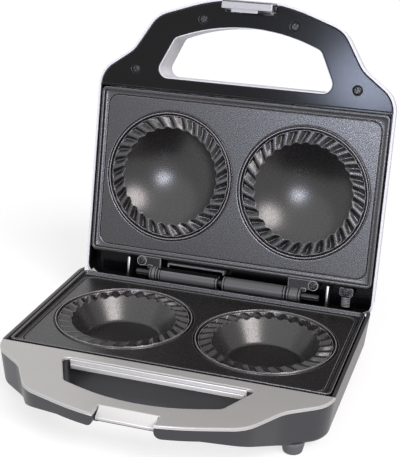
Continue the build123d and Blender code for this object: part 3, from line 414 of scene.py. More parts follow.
def screw_tree():
    """Sets a screw on each point, each turned by chance, and tipped by the point's own lean."""
    tree, given = new_tree("screws_on_points", {"Points": "Geometry", "Screw": "Object", "Size": "Float",
                                                "Seed": "Int"})
    screw = node(tree, "GeometryNodeObjectInfo", {"Object": given["Screw"]})
    lean = node(tree, "GeometryNodeInputNamedAttribute", data_type="FLOAT", Name="lean")
    chance = node(tree, "FunctionNodeRandomValue", {"Seed": given["Seed"]}, data_type="FLOAT", _3=math.tau)
    about = node(tree, "ShaderNodeCombineXYZ", {"X": lean.outputs["Attribute"], "Z": chance.outputs[1]})
    placed = node(tree, "GeometryNodeInstanceOnPoints",
                  {"Points": given["Points"], "Instance": screw.outputs["Geometry"],
                   "Rotation": about.outputs[0], "Scale": given["Size"]})
    return close_tree(tree, given, placed)


def coil_tree():
    """Winds round wire into a close coil along the upright axis."""
    tree, given = new_tree("wire_coil", {"Turns": "Float", "Radius": "Float", "Length": "Float",
                                         "Wire": "Float"})
    path = node(tree, "GeometryNodeCurveSpiral",
                {"Rotations": given["Turns"], "Start Radius": given["Radius"],
                 "End Radius": given["Radius"], "Height": given["Length"]}, Resolution=20)
    section = node(tree, "GeometryNodeCurvePrimitiveCircle", {"Radius": given["Wire"]}, Resolution=10)
    wire = node(tree, "GeometryNodeCurveToMesh",
                {"Curve": path.outputs[0], "Profile Curve": section.outputs[0]}, Fill_Caps=True)
    return close_tree(tree, given, wire)


# ---------------- plates
SEAM = 0.004  # gap between two wedges that is closed
RIM_TOP = -0.2  # rim below the plane that the plates meet in
# half widths that casting and coating soften: along a radius, the same over the well's floor and as far
# outside it as the zone, and round the cell, as a share of the pitch
ROUNDING, FLOOR_ROUNDING, FLOOR_ZONE, SHARE_ROUNDING = 0.28, 1.3, 3, 0.022
FLUTE_BOTTOM = (0.64, 0.46)  # shares of a flute's width between which it is deepest
FLUTE_RUN = 0.9  # length over which a flute's outer end rises to the land
MOUTH_SHARE, MOUTH_RUN = 0.55, 3.5  # share of its depth left at the mouth, and length over which it is lost
MOUTH_CUT, MOUTH_FADE = 1.2, 0.6  # how far flutes cut into the mouth, and the length they fade over
SLANT_HOLD = 3  # how far inside the mouth a wedge stops slanting
GUTTERS = (-1.9, 2.2)  # far edges of the gutters beside the ridge
BOSS_INSET, BOSS, BORE = 10, 4.0, 1.5  # corner bosses from the edges; radii of a boss and its bore
CORNER_BOSS, PAN_CLEAR = 5.5, 0.6  # height of a corner boss, and of the pan's beyond the cells
HEATER_SEAT = 3.3  # heater's radius and its gap
CLAMP_BOSSES = [(0, -46), (-30, 46), (30, 46)]
PAN_BOSSES = [(0, -30), (0, 38)]

# (inwards, height, corner radius) up the side from the underside, over the rim, down to the field and, from
# its own start, across the field's groove
SIDE_LINE = ((0.5, 0, 3.5), (0.15, 0.15, 3.9), (0, 0.5, 4))
RIM_LINE = ((0, -0.5, 4), (0.15, -0.15, 3.9), (0.5, 0, 3.5), (1.6, 0, 2.9), (1.95, -0.15, 2.6),
            (2.1, -0.5, 2.5))
STEP_LINE = ((2.2, 0.8, 2.4), (2.45, 0.25, 2.3), (3.0, 0, 2.2))
GROOVE_LINE = ((-0.4, 0, 9), (0, 0, 9), (0.15, -0.1, 8.9), (0.6, -0.75, 8.6), (0.75, -0.75, 8.5),
               (1.2, -0.1, 8.2), (1.35, 0, 8.1), (1.8, 0, 7.8))
# seal ridge between its gutters: (outside its radius, over the field)
RIDGE_LINE = ((2.1, 0), (1.9, -0.9), (1.2, -0.9), (0.9, 0.2), (0.5, 1.0), (-0.1, 1.0), (-0.5, 0.1),
              (-0.7, -1.1), (-1.65, -1.1), (-1.85, 0))
# cuts across a wedge, outside the ridge, the flutes' outer ends, the mouth and the well's floor
RIDGE_CUTS = (3.2, 2.6, 2.3, 2.15, 2.0, 1.85, 1.7, 1.35, 1.2, 1.05, 0.85, 0.6, 0.4, 0,
              -0.2, -0.35, -0.5, -0.65, -0.8, -1.15, -1.5, -1.65, -1.75, -1.85)
FLUTE_CUTS = (0, -0.2, -0.4, -0.65, -0.9, -1.15, -1.6, -2.6, -3.8, -5, -6.2, -7.4, -8.4)
MOUTH_CUTS = (0.6, 0.4, 0.2, 0, -0.2, -0.4, -0.65, -0.9, -1.2, -1.5, -1.8, -2.1, -2.5, -3.0, -4.0, -5.5)
FLOOR_CUTS = (2.4, 1.6, 0.8, 0, -0.8, -1.6)
# radii of the cuts inside those, and of the bulge that a dome makes on the back
WELL_RADII = [24, 18, 10]
DOME_RADII = [33, 30, 26, 22, 18, 14, 10, 6, 3]
BULGE_RADII = (40, 34, 27, 20, 12, 5, 0)
# shares of the pitch at which a wedge is cut along its flute
ALONG_FLUTE = (0, 0.03, 0.06, 0.12, 0.2, 0.27, 0.31, 0.345, 0.39, 0.44, 0.475, 0.52, 0.6, 0.67, 0.7, 0.73,
               0.77, 0.88, 0.96, 1)


def broken_line(knots, at):
    """Height at a place along a line of (place, height) knots in falling order of place."""
    for (far, high), (near, low) in zip(knots, knots[1:]):
        if near <= at <= far:
            return high + (low - high) * (far - at) / max(1e-9, far - near)
    return knots[0][1] if at > knots[0][0] else knots[-1][1]


def bowl(mouth, depth, radius, level=0.0):
    """Height at a radius of a bowl cut from a sphere, whose mouth lies at a level."""
    sphere = (mouth ** 2 + depth ** 2) / (2 * depth)
    return level + sphere - depth - math.sqrt(sphere ** 2 - radius ** 2)


def flute_depth_at(sizes, share):
    """Depth of the slanted groove across one pitch, from 0 on the land to 1 at its bottom."""
    width = sizes.flute_share
    far, near = FLUTE_BOTTOM
    return broken_line([(1, 0), (width, 0), (width * far, 1), (width * near, 1), (0, 0)], share % 1.0)


def cell_height(sizes, radius, share, domed):
    """Height over the plate's field at a radius and a share of the flute pitch."""
    outer, inner = sizes.crimp_outer, sizes.crimp_inner
    if radius > outer:
        return broken_line([(sizes.ridge + place, height) for place, height in RIDGE_LINE], radius)
    end = min(1.0, (outer - radius) / FLUTE_RUN, (radius - inner + MOUTH_CUT) / MOUTH_FADE,
              MOUTH_SHARE + (1 - MOUTH_SHARE) * (radius - inner) / MOUTH_RUN)
    groove = -sizes.flute_depth * flute_depth_at(sizes, share) * max(0.0, end)
    if radius >= inner:
        return groove
    if domed:
        return min(groove, bowl(inner, sizes.dome_depth, radius))
    return min(groove, -sizes.well_depth * min(1.0, (inner - radius) / (inner - sizes.floor_radius)))


def soft_height(sizes, radius, share, domed):
    """cell_height with its edges rounded a little, as casting and coating leave them."""
    reach = FLOOR_ROUNDING if radius < sizes.floor_radius + FLOOR_ZONE and not domed else ROUNDING
    total = 0.0
    for i in (-2, -1, 0, 1, 2):
        for k in (-1, 0, 1):
            near = max(0.0, radius + i * reach / 2)
            total += cell_height(sizes, near, share + k * SHARE_ROUNDING, domed)
    return total / 15


def wedge_mesh(sizes, hand, domed):
    """One flute's wedge of a cell, from outside the ridge to the axis."""
    radii = [start + cut for start, cuts in ((sizes.ridge, RIDGE_CUTS), (sizes.crimp_outer, FLUTE_CUTS),
                                             (sizes.crimp_inner, MOUTH_CUTS)) for cut in cuts]
    radii += DOME_RADII if domed else [sizes.floor_radius + cut for cut in FLOOR_CUTS] + WELL_RADII
    pitch = math.tau / sizes.flute_count
    slant = hand * math.tan(sizes.flute_skew)
    middle = (sizes.crimp_outer + sizes.crimp_inner) / 2
    bm = bmesh.new()
    rows = []
    for radius in radii:
        held = min(sizes.crimp_outer, max(sizes.crimp_inner - SLANT_HOLD, radius))
        start = slant * math.log(held / middle)
        row = []
        for share in ALONG_FLUTE:
            turn = start + share * pitch
            height = soft_height(sizes, radius, share, domed)
            row.append(bm.verts.new((radius * math.cos(turn), radius * math.sin(turn), height)))
        rows.append(row)
    axis = bm.verts.new((0, 0, soft_height(sizes, 0, 0, domed)))
    loft(bm, rows, closed=False)
    for a, b in zip(rows[-1], rows[-1][1:]):
        bm.faces.new((a, b, axis))
    mesh = bpy.data.meshes.new("flute_wedge")
    bm.to_mesh(mesh)
    bm.free()
    return mesh


def painted_groove_shade(sizes):
    """How far a point of a plate lies in a gutter or flute, painted dark there as shade, from 0 to -1."""
    field = RIM_TOP - sizes.rim_depth
    inside, outside = (sizes.ridge + gutter for gutter in GUTTERS)

    def tone(point):
        radius = math.hypot(abs(point.x) - sizes.pitch / 2, point.y)
        sunk = field - point.z
        if inside < radius < outside:
            return -min(1.0, max(0.0, sunk / 0.5))
        if sizes.crimp_inner < radius < sizes.crimp_outer:
            return -0.8 * min(1.0, max(0.0, sunk / sizes.flute_depth - 0.3))
        return -1.5 * min(0.6, max(0.0, sunk)) if radius > sizes.ridge else 0.0

    return tone


def plate(sizes, domed):
    """A plate facing up, its rim just below 0."""
    rim, field = RIM_TOP, RIM_TOP - sizes.rim_depth
    under = field - sizes.wall
    bm = bmesh.new()
    tree = wedge_tree()
    outer_loops = []
    for side in (-1, 1):
        cell = run_tree(tree, wedge_mesh(sizes, side, domed),
                        {"Count": sizes.flute_count, "Finish": FINISHES["non_stick_aluminium"]})
        cell.transform(Matrix.Translation((side * sizes.pitch / 2, 0, field)))
        known = set(bm.verts)
        bm.from_mesh(cell)
        bmesh.ops.remove_doubles(bm, verts=[vert for vert in bm.verts if vert not in known], dist=SEAM)
        outer_loops += [edge for edge in bm.edges if edge.is_boundary and edge.verts[0] not in known]
    lines = ((0, under, SIDE_LINE), (0, rim, RIM_LINE), (0, field, STEP_LINE),
             (sizes.groove_inset, field, GROOVE_LINE))
    profile = [(start + i, level + z, r) for start, level, line in lines for i, z, r in line]
    rings = [ring(bm, rectangle(sizes.width - 2 * i, sizes.depth - 2 * i, r, 8), z) for i, z, r in profile]
    loft(bm, rings)
    bmesh.ops.triangle_fill(bm, use_beauty=True, edges=edges_of(bm, rings[-1]) + outer_loops)
    back = sizes.crimp_inner + sizes.wall
    if domed:
        low = under - sizes.dome_depth
        bulge = [(radius, bowl(back, sizes.dome_depth, radius, under)) for radius in (back, *BULGE_RADII)]
    else:
        low = under - sizes.well_depth
        bulge = [(back, under), (sizes.floor_radius + 1, low), (0, low)]
    holes = [lathe(bm, bulge, 64, (side * sizes.pitch / 2, 0))[0] for side in (-1, 1)]
    x, y = sizes.width / 2 - BOSS_INSET, sizes.depth / 2 - BOSS_INSET
    corners = [(sx * x, sy * y) for sx in (-1, 1) for sy in (-1, 1)]
    for foot, places in ((under - CORNER_BOSS, corners), (under - 2 * HEATER_SEAT, CLAMP_BOSSES),
                         (low - PAN_CLEAR, PAN_BOSSES)):
        post = [(BOSS, under), (BOSS, foot), (BORE, foot), (BORE, under - 1.0), (0, under - 1.0)]
        holes += [lathe(bm, post, 20, place)[0] for place in places]
    fill(bm, rings[0], *holes)
    return bm


# ---------------- handle
FRONT = -69.0  # front edge of the plates
# right side of the handle, from beside its tip: (inside its half width, forward of the plates, radius)
SIDE_CORNERS = ((45.7, 62.6, 26), (27.6, 33.3, 26), (0, 13.3, 24), (0, -10, 0))
TWIN = 0.1  # outline points nearer than this are one
OPENING_FRONT = FRONT - 56.5
OPENING_HORN = (60.0, 12.4, 7)  # half width, behind the opening's front, and radius
OPENING_REAR_HALF = 75.4
DECK_HALF, PANEL_HALF = 124.0, 123.6  # half widths of the handle round the deck and the panel
DECK_NOTCH, PANEL_NOTCH = 67, 68.4  # backs of their notches, forward of the plates
LEDGES = ((0.0, 2.3, 0.7), (1.2, 4.6, 3.4))  # shorter at each end by, forward by, and top below 0
SEAT = 2.3  # inner face of the panel's screw cups
# sloping catch from its root to its nose: (forward of the plates, height, radius)
CATCH_LINE = ((61.0, -5.3, 0), (61.0, -2.5, 0), (67.1, -2.5, 0), (67.1, -0.3, 0), (75.0, -5.2, 0.5),
              (75.0, -7.2, 0.5), (67.1, -7.2, 0), (67.1, -5.3, 0))
CATCH_HALF = 20.6
LATCH_GAP, LATCH_WALL, LATCH_RECESS = 0.8, 2.4, 2.2  # beside it, its thickness, and behind the handle's tip
LATCH_LOW, LATCH_HIGH = -10.7, 14.8
PIVOT_BACK, PIVOT_HEIGHT = 5.0, 12.0  # latch's pin behind it, and over the rim plane


def bowed_front(reach, half, rise, radius):
    """Corner, with its radius, of a bowed front whose tip is at reach and whose ends are rise behind it."""
    apart = math.hypot(half, radius - rise)
    slope = math.atan2(half, radius - rise) - math.acos(radius / apart)
    return (0.0, reach - radius * (1 / math.cos(slope) - 1), radius)


def mirrored(right, tip):
    """Corners from the left, through the tip, to the right ones, which start beside it."""
    return [*((-x, y, radius) for x, y, radius in reversed(right)), tip, *right]


def handle_plan(sizes, half, shrink=0.0):
    """Handle's plan, counter-clockwise from its rear left corner at the deck line, shrunk all round."""
    right = [(half - inside, FRONT - forward, radius) for inside, forward, radius in SIDE_CORNERS]
    tip = bowed_front(FRONT - sizes.reach, right[0][0], sizes.reach - SIDE_CORNERS[0][1], sizes.bow)
    outline = inset(rounded(mirrored(right, tip), 10), shrink)
    points = [(x, min(y, FRONT - sizes.line)) for x, y in outline]
    return [p for p, q in zip(points, points[1:] + points[:1]) if math.dist(p, q) > TWIN]


def opening_plan(sizes, narrow, bow, rear_round):
    """Finger opening's plan, counter-clockwise, narrowed by this much on each side."""
    half, behind, radius = OPENING_HORN
    right = [(half - narrow, OPENING_FRONT + behind, radius),
             (OPENING_REAR_HALF - narrow, FRONT - sizes.opening_start, rear_round)]
    return rounded(mirrored(right, bowed_front(OPENING_FRONT, half - narrow, behind, bow)), 8)


def notched(points, half, back):
    """Plan with a straight notch of this half width cut into its front, as far as back."""
    kept = []
    for p, q in zip(points, points[1:] + points[:1]):
        if abs(p[0]) >= half or p[1] > back:
            kept.append(p)
        if p[0] < -half <= q[0] and p[1] < back:
            y = p[1] + (q[1] - p[1]) * (-half - p[0]) / (q[0] - p[0])
            kept += [(-half, y), (-half, back), (half, back), (half, y)]
    return kept


def deck(sizes):
    """Silver deck of the lower handle, with stepped ledges along the rear of its opening."""
    bm = bmesh.new()
    plan = notched(handle_plan(sizes, DECK_HALF), sizes.notch_half, FRONT - DECK_NOTCH)
    slab(bm, plan, [opening_plan(sizes, 3.4, 125, 3.6)], -2.5, -0.3, 0.1, 0.8)
    rear = FRONT - sizes.opening_start
    for shorter, forward, drop in LEDGES:
        half = sizes.ledge_half - shorter
        block(bm, -half, half, rear - forward, rear + 0.5, -6.7, -drop, 0.35, 0.6)
    return bm


def inner_panel(sizes):
    """Black inner panel of the upper handle, with its screw seats."""
    bm = bmesh.new()
    plan = notched(handle_plan(sizes, PANEL_HALF, 2.5), sizes.notch_half, FRONT - PANEL_NOTCH)
    opening = inset(opening_plan(sizes, 0, 150, 7), -0.8)
    seats = [circle(3.6, 24, place) for place in HANDLE_SCREWS]
    slab(bm, plan, [opening, *seats], 0.3, 2.5, 0.4, 0.1)
    for place in HANDLE_SCREWS:
        lathe(bm, [(4.5, 2.45), (4.5, 4.1), (1.7, 4.1), (1.7, SEAT), (3.8, SEAT), (4.5, 2.45)], 24, place)
    return bm


def catch():
    """Sloping catch in the notch, its root under the deck."""
    bm = bmesh.new()
    plan = rounded([(FRONT - forward, z, radius) for forward, z, radius in CATCH_LINE], 3)
    slab(bm, plan, [], -CATCH_HALF, CATCH_HALF, 0.4, 0.4)
    moved(bm, set(), SIDEWAYS)
    return bm


def latch(sizes):
    """Sprung clip: band, hook with a thumb tab, and two ears on the pin."""
    bm = bmesh.new()
    half = sizes.notch_half - LATCH_GAP
    face = FRONT - sizes.reach + LATCH_RECESS
    axis = face + LATCH_WALL + PIVOT_BACK
    block(bm, -half, half, face, face + LATCH_WALL, LATCH_LOW, LATCH_HIGH, 0.5, 0.8)
    block(bm, -half, half, face, face + 7.2, LATCH_LOW, -8.1, 0.5, 0.8)
    block(bm, -12.5, 9.0, face + 6.4, face + 9.6, -10.2, -8.5, 0.3, 0.5)
    for side in (-1, 1):
        middle = side * (half - 4.5)
        block(bm, middle - 1.5, middle + 1.5, face + 2.0, axis, 8.8, LATCH_HIGH, 0.2, 0.2)
        ear = [(-1.5, 1.55), (-1.5, 3.0), (-1.3, 3.2), (1.3, 3.2), (1.5, 3.0), (1.5, 1.55), (-1.5, 1.55)]
        turned_x(bm, [(middle + x, radius) for x, radius in ear], axis, PIVOT_HEIGHT, 24)
    return bm


# ---------------- hinge and fittings
HINGE_SCREWS = [(-73.6, 73.2), (73.6, 73.2)]
HANDLE_SCREWS = [(side * x, FRONT - y) for side in (-1, 1) for x, y in ((37.6, 61.2), (92.0, 16.7))]
FEET = [(100.0, FRONT - 18), (-98.0, FRONT + 3), (98.0, 66.0), (-98.0, 66.0)]
LEDGE_TOP, LEDGE_END = -7, 83.0  # hinge ledge under the barrels, and its rear edge
BARRELS = ((-57.0, -5.0, 4.8), (-1.3, 52.5, 9.0))  # left end, right end, highest point
FOOT_FRONT, FOOT_TOP = 71.2, -5.2  # screwed foot of each barrel
KNUCKLES = ((-1, -65.0, -57.3), (1, 52.8, 65.0))  # side, left end, right end
BRACKET = (0.8, 3.4)  # underside and top of a lid bracket
PIN_LEFT, PIN_RIGHT = -78, 80
ARM_X = 85.5
CLAMP_LOW = 3.0  # underside of the lead clamp
LAMPS = ((-11.0, -55.0), (11.0, -55.0))
LENS_LINE = ((0, 0.7), (1.5, 0.62), (2.8, 0.45), (3.6, 0.2), (3.95, -0.1), (4.0, -0.5), (4.0, -3.2),
             (0, -3.2))  # (radius, over the lid)
# parabola of the lid's arch: height, fall over half its length, that half, and the lamps' place on it
LID_CROWN, LID_FALL, LID_HALF, LAMP_FORWARD = 34.5, 9.0, 121.25, 26.75
GLAND, GLAND_SEAT = (72.0, 0, -19.0), 80.215  # its place in the rear wall, and the outside of that wall
SPRING_RADIUS, SPRING_LENGTH, SPRING_WIRE = 3.2, 8.0, 0.55
SPRING_PLACE = (100.3, 78.4 + SPRING_WIRE, 5.8)


def grooved(x0, x1, radius, bore, inwards):
    """Closed profile of a tube along X, with a groove this far inside each end."""
    outer = [(x0, radius - 0.5), (x0 + 0.5, radius)]
    for x in (x0 + inwards, x1 - inwards):
        outer += [(x - 0.5, radius), (x - 0.3, radius - 0.5), (x + 0.3, radius - 0.5), (x + 0.5, radius)]
    outer += [(x1 - 0.5, radius), (x1, radius - 0.5)]
    return [(x0, bore), *outer, (x1, bore), (x0, bore)]


def barrels(sizes):
    """Two barrels on the rear ledge; the left one is flat on top."""
    bm = bmesh.new()
    for x0, x1, flat in BARRELS:
        known = set(bm.verts)
        turned_x(bm, grooved(x0, x1, sizes.barrel, sizes.pin, 2), HINGE_BACK, 0)
        for vert in bm.verts:
            if vert not in known:
                vert.co.z = min(vert.co.z, flat)
        block(bm, x0, x1, HINGE_BACK - 3, LEDGE_END, LEDGE_TOP, -0.5, 0.2, 0.3)
        block(bm, x0, x1, FOOT_FRONT, HINGE_BACK, LEDGE_TOP, FOOT_TOP, 0.3, 0.5)
    return bm


def brackets(sizes):
    """Lid knuckles with their arms and round screw bosses."""
    bm = bmesh.new()
    low, high = BRACKET
    for (side, x0, x1), place in zip(KNUCKLES, HINGE_SCREWS):
        turned_x(bm, grooved(x0, x1, 5.6, sizes.pin + 0.05, 2.2), HINGE_BACK, 0)
        block(bm, x0, x1, 69.3, HINGE_BACK - 2.7, low, high, 0.3, 0.4)
        block(bm, side * 64.0, place[0], 69.3, 77.1, low, high, 0.3, 0.4)
        block(bm, side * 64.0, side * 68.0, 76.0, 79.0, 0.2, 3.0, 0.3, 0.4)
        lathe(bm, [(1.7, high), (4.1, high), (4.2, 3.2), (4.2, 0.2), (4.0, -0.1), (3.7, -0.1), (3.6, low),
                   (1.7, low), (1.7, high)], 28, place)
    return bm


def pin(sizes):
    """Hinge pin with domed ends."""
    bm = bmesh.new()
    end = [(0.0, 0.0), (0.2, sizes.pin * 0.5), (0.6, sizes.pin * 0.85), (1.1, sizes.pin)]
    line = [(PIN_LEFT + x, r) for x, r in end] + [(PIN_RIGHT - x, r) for x, r in reversed(end)]
    turned_x(bm, line, HINGE_BACK, 0, 24)
    return bm


def arms():
    """Steel stop arms, each with a toe that lands on the rear ledge."""
    bm = bmesh.new()
    plan = rounded([(71.6, 0.8, 0.6), (89.0, 0.8, 0.6), (89.0, 5.5, 0.3), (88.5, 5.5, 0.3),
                    (88.5, 13.1, 0.5), (71.6, 13.1, 0.6)], 3)
    for side in (-1, 1):
        known = set(bm.verts)
        slab(bm, plan, [], side * ARM_X - 1, side * ARM_X + 1, 0.2, 0.2)
        moved(bm, known, SIDEWAYS)
    return bm


def cover():
    """Bent strip over the leads behind the left barrel."""
    bm = bmesh.new()
    for x0, x1, back in ((-51, -2, 73.7), (-51, -50, 75.9), (-3, -2, 75.9)):
        block(bm, x0, x1, 72.7, back, 1.4, 13.1, 0.25, 0.3)
    return bm


def clamp():
    """Plate that holds the lead sleeve in the hinge bay."""
    bm = bmesh.new()
    block(bm, 94.8, 105.8, 71.6, 78.3, CLAMP_LOW, 4.2, 0.25, 1.0)
    return bm


def spring(sizes):
    """Close coil of wire round the lid's leads."""
    bm = bmesh.new()
    bm.from_mesh(run_tree(coil_tree(), bpy.data.meshes.new("start"), {
        "Turns": sizes.coil_turns, "Radius": SPRING_RADIUS, "Length": SPRING_LENGTH, "Wire": SPRING_WIRE,
        "Finish": FINISHES["dark_steel"]}))
    moved(bm, set(), Matrix.Translation(SPRING_PLACE) @ ALONG_Y)
    return bm


def feet():
    """Four tapered feet with sunk screws."""
    bm = bmesh.new()
    for place in FEET:
        lathe(bm, [(1.7, -29.05), (8.3, -29.0), (8.45, -29.3), (6.95, -36.4), (6.6, -37.3), (5.9, -37.85),
                   (5.1, -38.0), (3.9, -38.0), (3.6, -37.8), (3.6, FOOT_SEAT), (1.7, FOOT_SEAT),
                   (1.7, -29.05)], 40, place)
    return bm


def lenses():
    """Domed lenses of the two lamps in the lid."""
    bm = bmesh.new()
    top = LID_CROWN - (LAMP_FORWARD / LID_HALF) ** 2 * LID_FALL
    for place in LAMPS:
        lathe(bm, [(radius, top + up) for radius, up in LENS_LINE], 36, place)
    return bm


def gland():
    """Bushing in the rear wall with a rounded flange."""
    line = ((3.6, -5.9), (5.45, -5.9), (5.45, 0), (7.5, 0), (7.5, 1.5), (7.2, 2.1), (6.5, 2.4), (4.6, 2.4),
            (3.9, 2.1), (3.6, 1.5), (3.6, -5.9))
    bm = bmesh.new()
    lathe(bm, [(radius, GLAND_SEAT + out) for radius, out in line], 40)
    moved(bm, set(), Matrix.Translation(GLAND) @ ALONG_Y)
    return bm


# ---------------- screws
BARREL_SCREWS = [(x, 73.8) for x in (-49.0, -13.0, 9.0, 45.0)]
DECK_SCREWS = [(-42.0, FRONT - 62), (42.0, FRONT - 62)]
CLAMP_SCREWS = [(100.3, 74.4)]
DECK_SEAT, FOOT_SEAT = -8.4, -33.5
UP, DOWN = 0.0, math.pi  # lean of a screw's head
SHANK = 4.0  # length below the head
# head from its seat to its flat top, as shares of its radius and height
HEAD_LINE = ((1, 0), (1, 0.4), (0.95, 0.66), (0.86, 0.85), (0.74, 0.96), (0.66, 1))


def screw_mesh(sizes):
    """Pan-head screw standing on its seat at 0, with a tapered cross recess."""
    bm = bmesh.new()
    r, high, arm, slot = sizes.screw_head, sizes.screw_height, sizes.cross / 2, sizes.cross_width / 2
    rings = lathe(bm, [(0, -SHANK), (1.0, -SHANK), (1.5, -SHANK + 0.8), (1.5, 0),
                       *((r * out, high * up) for out, up in HEAD_LINE)], 28)
    cross = [(x * math.cos(t) - y * math.sin(t), x * math.sin(t) + y * math.cos(t))
             for t in (0, math.pi / 2, math.pi, 1.5 * math.pi)
             for x, y in ((arm, -slot), (arm, slot), (slot, slot))]
    top = ring(bm, cross, high)
    low = ring(bm, [(0.6 * x, 0.6 * y) for x, y in cross], high - sizes.cross_depth)
    loft(bm, [top, low])
    fill(bm, rings[-1], top)
    fill(bm, low)
    bmesh.ops.recalc_face_normals(bm, faces=bm.faces)
    mesh = bpy.data.meshes.new("screw")
    bm.to_mesh(mesh)
    bm.free()
    return mesh


def screw_set(sizes, seed, *groups):
    """Bmesh of screws in groups of (places, height of the seat, lean)."""
    points = bpy.data.meshes.new("seats")
    seats = [(*place, height) for places, height, lean in groups for place in places]
    points.from_pydata(seats, [], [])
    leans = points.attributes.new("lean", "FLOAT", "POINT")
    leans.data.foreach_set("value", [lean for places, height, lean in groups for place in places])
    screw = shown("screw", screw_mesh(sizes))
    made = run_tree(screw_tree(), points, {"Screw": screw, "Size": 1.0, "Seed": seed,
                                           "Finish": FINISHES["dark_steel"]})
    bpy.data.objects.remove(screw)
    bm = bmesh.new()
    bm.from_mesh(made)
    return bm


# ---------------- stage
# name, azimuth, elevation and width in degrees, strength, colour
SOFTBOXES = (("softbox_front", 2, 12, 16, 1.2, "F0F0FF"), ("softbox_slit", -8.5, 9.5, 4, 0.24, "D6E2FF"),
             ("softbox_right", 53, 41, 32, 2.7, "FFF6F6"), ("softbox_top", -26, 46, 80, 0.8, "FFFFFF"))
FLOOR_HALF = 6.0  # metres
FLOOR_GLOW = (0.72, 0.72, 0.72, 1)  # light that the paper shows by itself


def seen_by(tree, *kinds):
    """Socket that is 1 on rays of these kinds and 0 on others."""
    rays = node(tree, "ShaderNodeLightPath").outputs
    seen = rays[kinds[0]]
    for kind in kinds[1:]:
        seen = node(tree, "ShaderNodeMath", {0: seen, 1: rays[kind]}, operation="MAXIMUM").outputs[0]
    return seen


def camera(look):
    """Camera at its place, aimed at its target and rolled."""
    data = bpy.data.cameras.new("camera")
    data.lens = look.lens
    data.sensor_width = 36.0
    data.clip_start, data.clip_end = 0.05, 50.0
    place = Vector(look.camera_place)
    ahead = (Vector(look.target) - place).normalized()
    level = ahead.cross(Vector((0, 0, 1))).normalized()
    across = level * math.cos(look.roll) + level.cross(ahead) * math.sin(look.roll)
    turn = Matrix((across, across.cross(ahead), -ahead)).transposed()
    made = shown("camera", data)
    made.matrix_world = Matrix.Translation(place) @ turn.to_4x4()
    return made


def floor(look):
    """Plain floor of matt paper, which glows a little to the eye and in reflections."""
    mesh = bpy.data.meshes.new("floor")
    mesh.from_pydata([(x * FLOOR_HALF, y * FLOOR_HALF, 0) for x, y in ((-1, -1), (1, -1), (1, 1), (-1, 1))],
                     [], [(0, 1, 2, 3)])
    shown("floor", mesh)
    paper = bpy.data.materials.new("pale_paper")
    tree = cleared(paper)
    sheet = node(tree, "ShaderNodeBsdfDiffuse", Color=look.floor_colour)
    glow = node(tree, "ShaderNodeEmission", {"Strength": seen_by(tree, "Is Camera Ray", "Is Glossy Ray")},
                Color=FLOOR_GLOW)
    both = node(tree, "ShaderNodeAddShader", {0: sheet.outputs[0], 1: glow.outputs[0]})
    node(tree, "ShaderNodeOutputMaterial", {"Surface": both.outputs[0]})
    mesh.materials.append(paper)


def sky(look):
    """World that is white to the eye, in reflections and through glass, and lights the rest evenly."""
    world = bpy.data.worlds.new("studio")
    tree = cleared(world)
    seen = seen_by(tree, "Is Camera Ray", "Is Glossy Ray", "Is Transmission Ray")
    level = node(tree, "ShaderNodeMapRange", {"Value": seen}, To_Min=look.ambient, To_Max=1.0)
    light = node(tree, "ShaderNodeBackground", {"Strength": level.outputs["Result"]}, Color=(1, 1, 1, 1))
    node(tree, "ShaderNodeOutputWorld", {"Surface": light.outputs[0]})
    return world


def softbox(name, azimuth, elevation, width, strength, colour):
    """Soft light as wide as a sun of this angle, azimuth measured from the front."""
    data = bpy.data.lights.new(name, "SUN")
    data.angle = math.radians(width)
    data.energy = strength
    data.color = linear(colour)[:3]
    a, e = math.radians(azimuth), math.radians(elevation)
    towards = Vector((math.sin(a) * math.cos(e), -math.cos(a) * math.cos(e), math.sin(e)))
    made = shown(name, data)
    made.rotation_mode = "QUATERNION"
    made.rotation_quaternion = towards.to_track_quat("Z", "Y")


# ---------------- sizes and colours
def mm(name, description, value):
    """A size in millimetres."""
    return FloatProperty(name=name, description=description + ", in mm", default=value, min=0.0)


def degrees(name, description, value):
    """An angle, given in degrees."""
    return FloatProperty(name=name, description=description, default=math.radians(value), subtype="ANGLE")


def colour_of(name, description, code):
    """A colour, given as an sRGB hex value."""
    return FloatVectorProperty(name=name, description=description, size=4, default=linear(code),
                               subtype="COLOR", min=0.0, max=1.0)


def place_of(name, description, value):
    """A place in metres."""
    return FloatVectorProperty(name=name, description=description, default=value, subtype="TRANSLATION")


class PlateSizes(PropertyGroup):
    """Sizes of the two plates, in millimetres."""
    width: mm("Width", "Plate from side to side", 240.0)
    depth: mm("Depth", "Plate from front to back", 138.0)
    rim_depth: mm("Rim depth", "Rim's top above the field", 3.3)
    wall: mm("Wall", "Thickness of the casting", 3.0)
    groove_inset: mm("Groove inset", "Field groove inside the plate's edge", 5.0)
    pitch: mm("Pitch", "Distance between the two cells", 113.3)
    ridge: mm("Ridge radius", "Radius of the seal ridge", 52.35)
    crimp_outer: mm("Crimp outer radius", "Outer ends of the flutes", 50.4)
    crimp_inner: mm("Crimp inner radius", "Mouth of the well or dome", 41.0)
    flute_count: IntProperty(name="Flutes", description="Flutes round each cell", default=29, min=3)
    flute_depth: mm("Flute depth", "Depth of each flute", 2.6)
    flute_share: FloatProperty(name="Flute share", description="Part of the pitch taken by the groove",
                               default=0.72, subtype="FACTOR", min=0.0, max=1.0)
    flute_skew: degrees("Flute slant", "Slant of each flute from the radius", 28)
    floor_radius: mm("Well floor radius", "Radius of the well's floor", 28.5)
    well_depth: mm("Well depth", "Field to the well's floor", 17.5)
    dome_depth: mm("Dome depth", "Field to the dome's crown", 16.0)


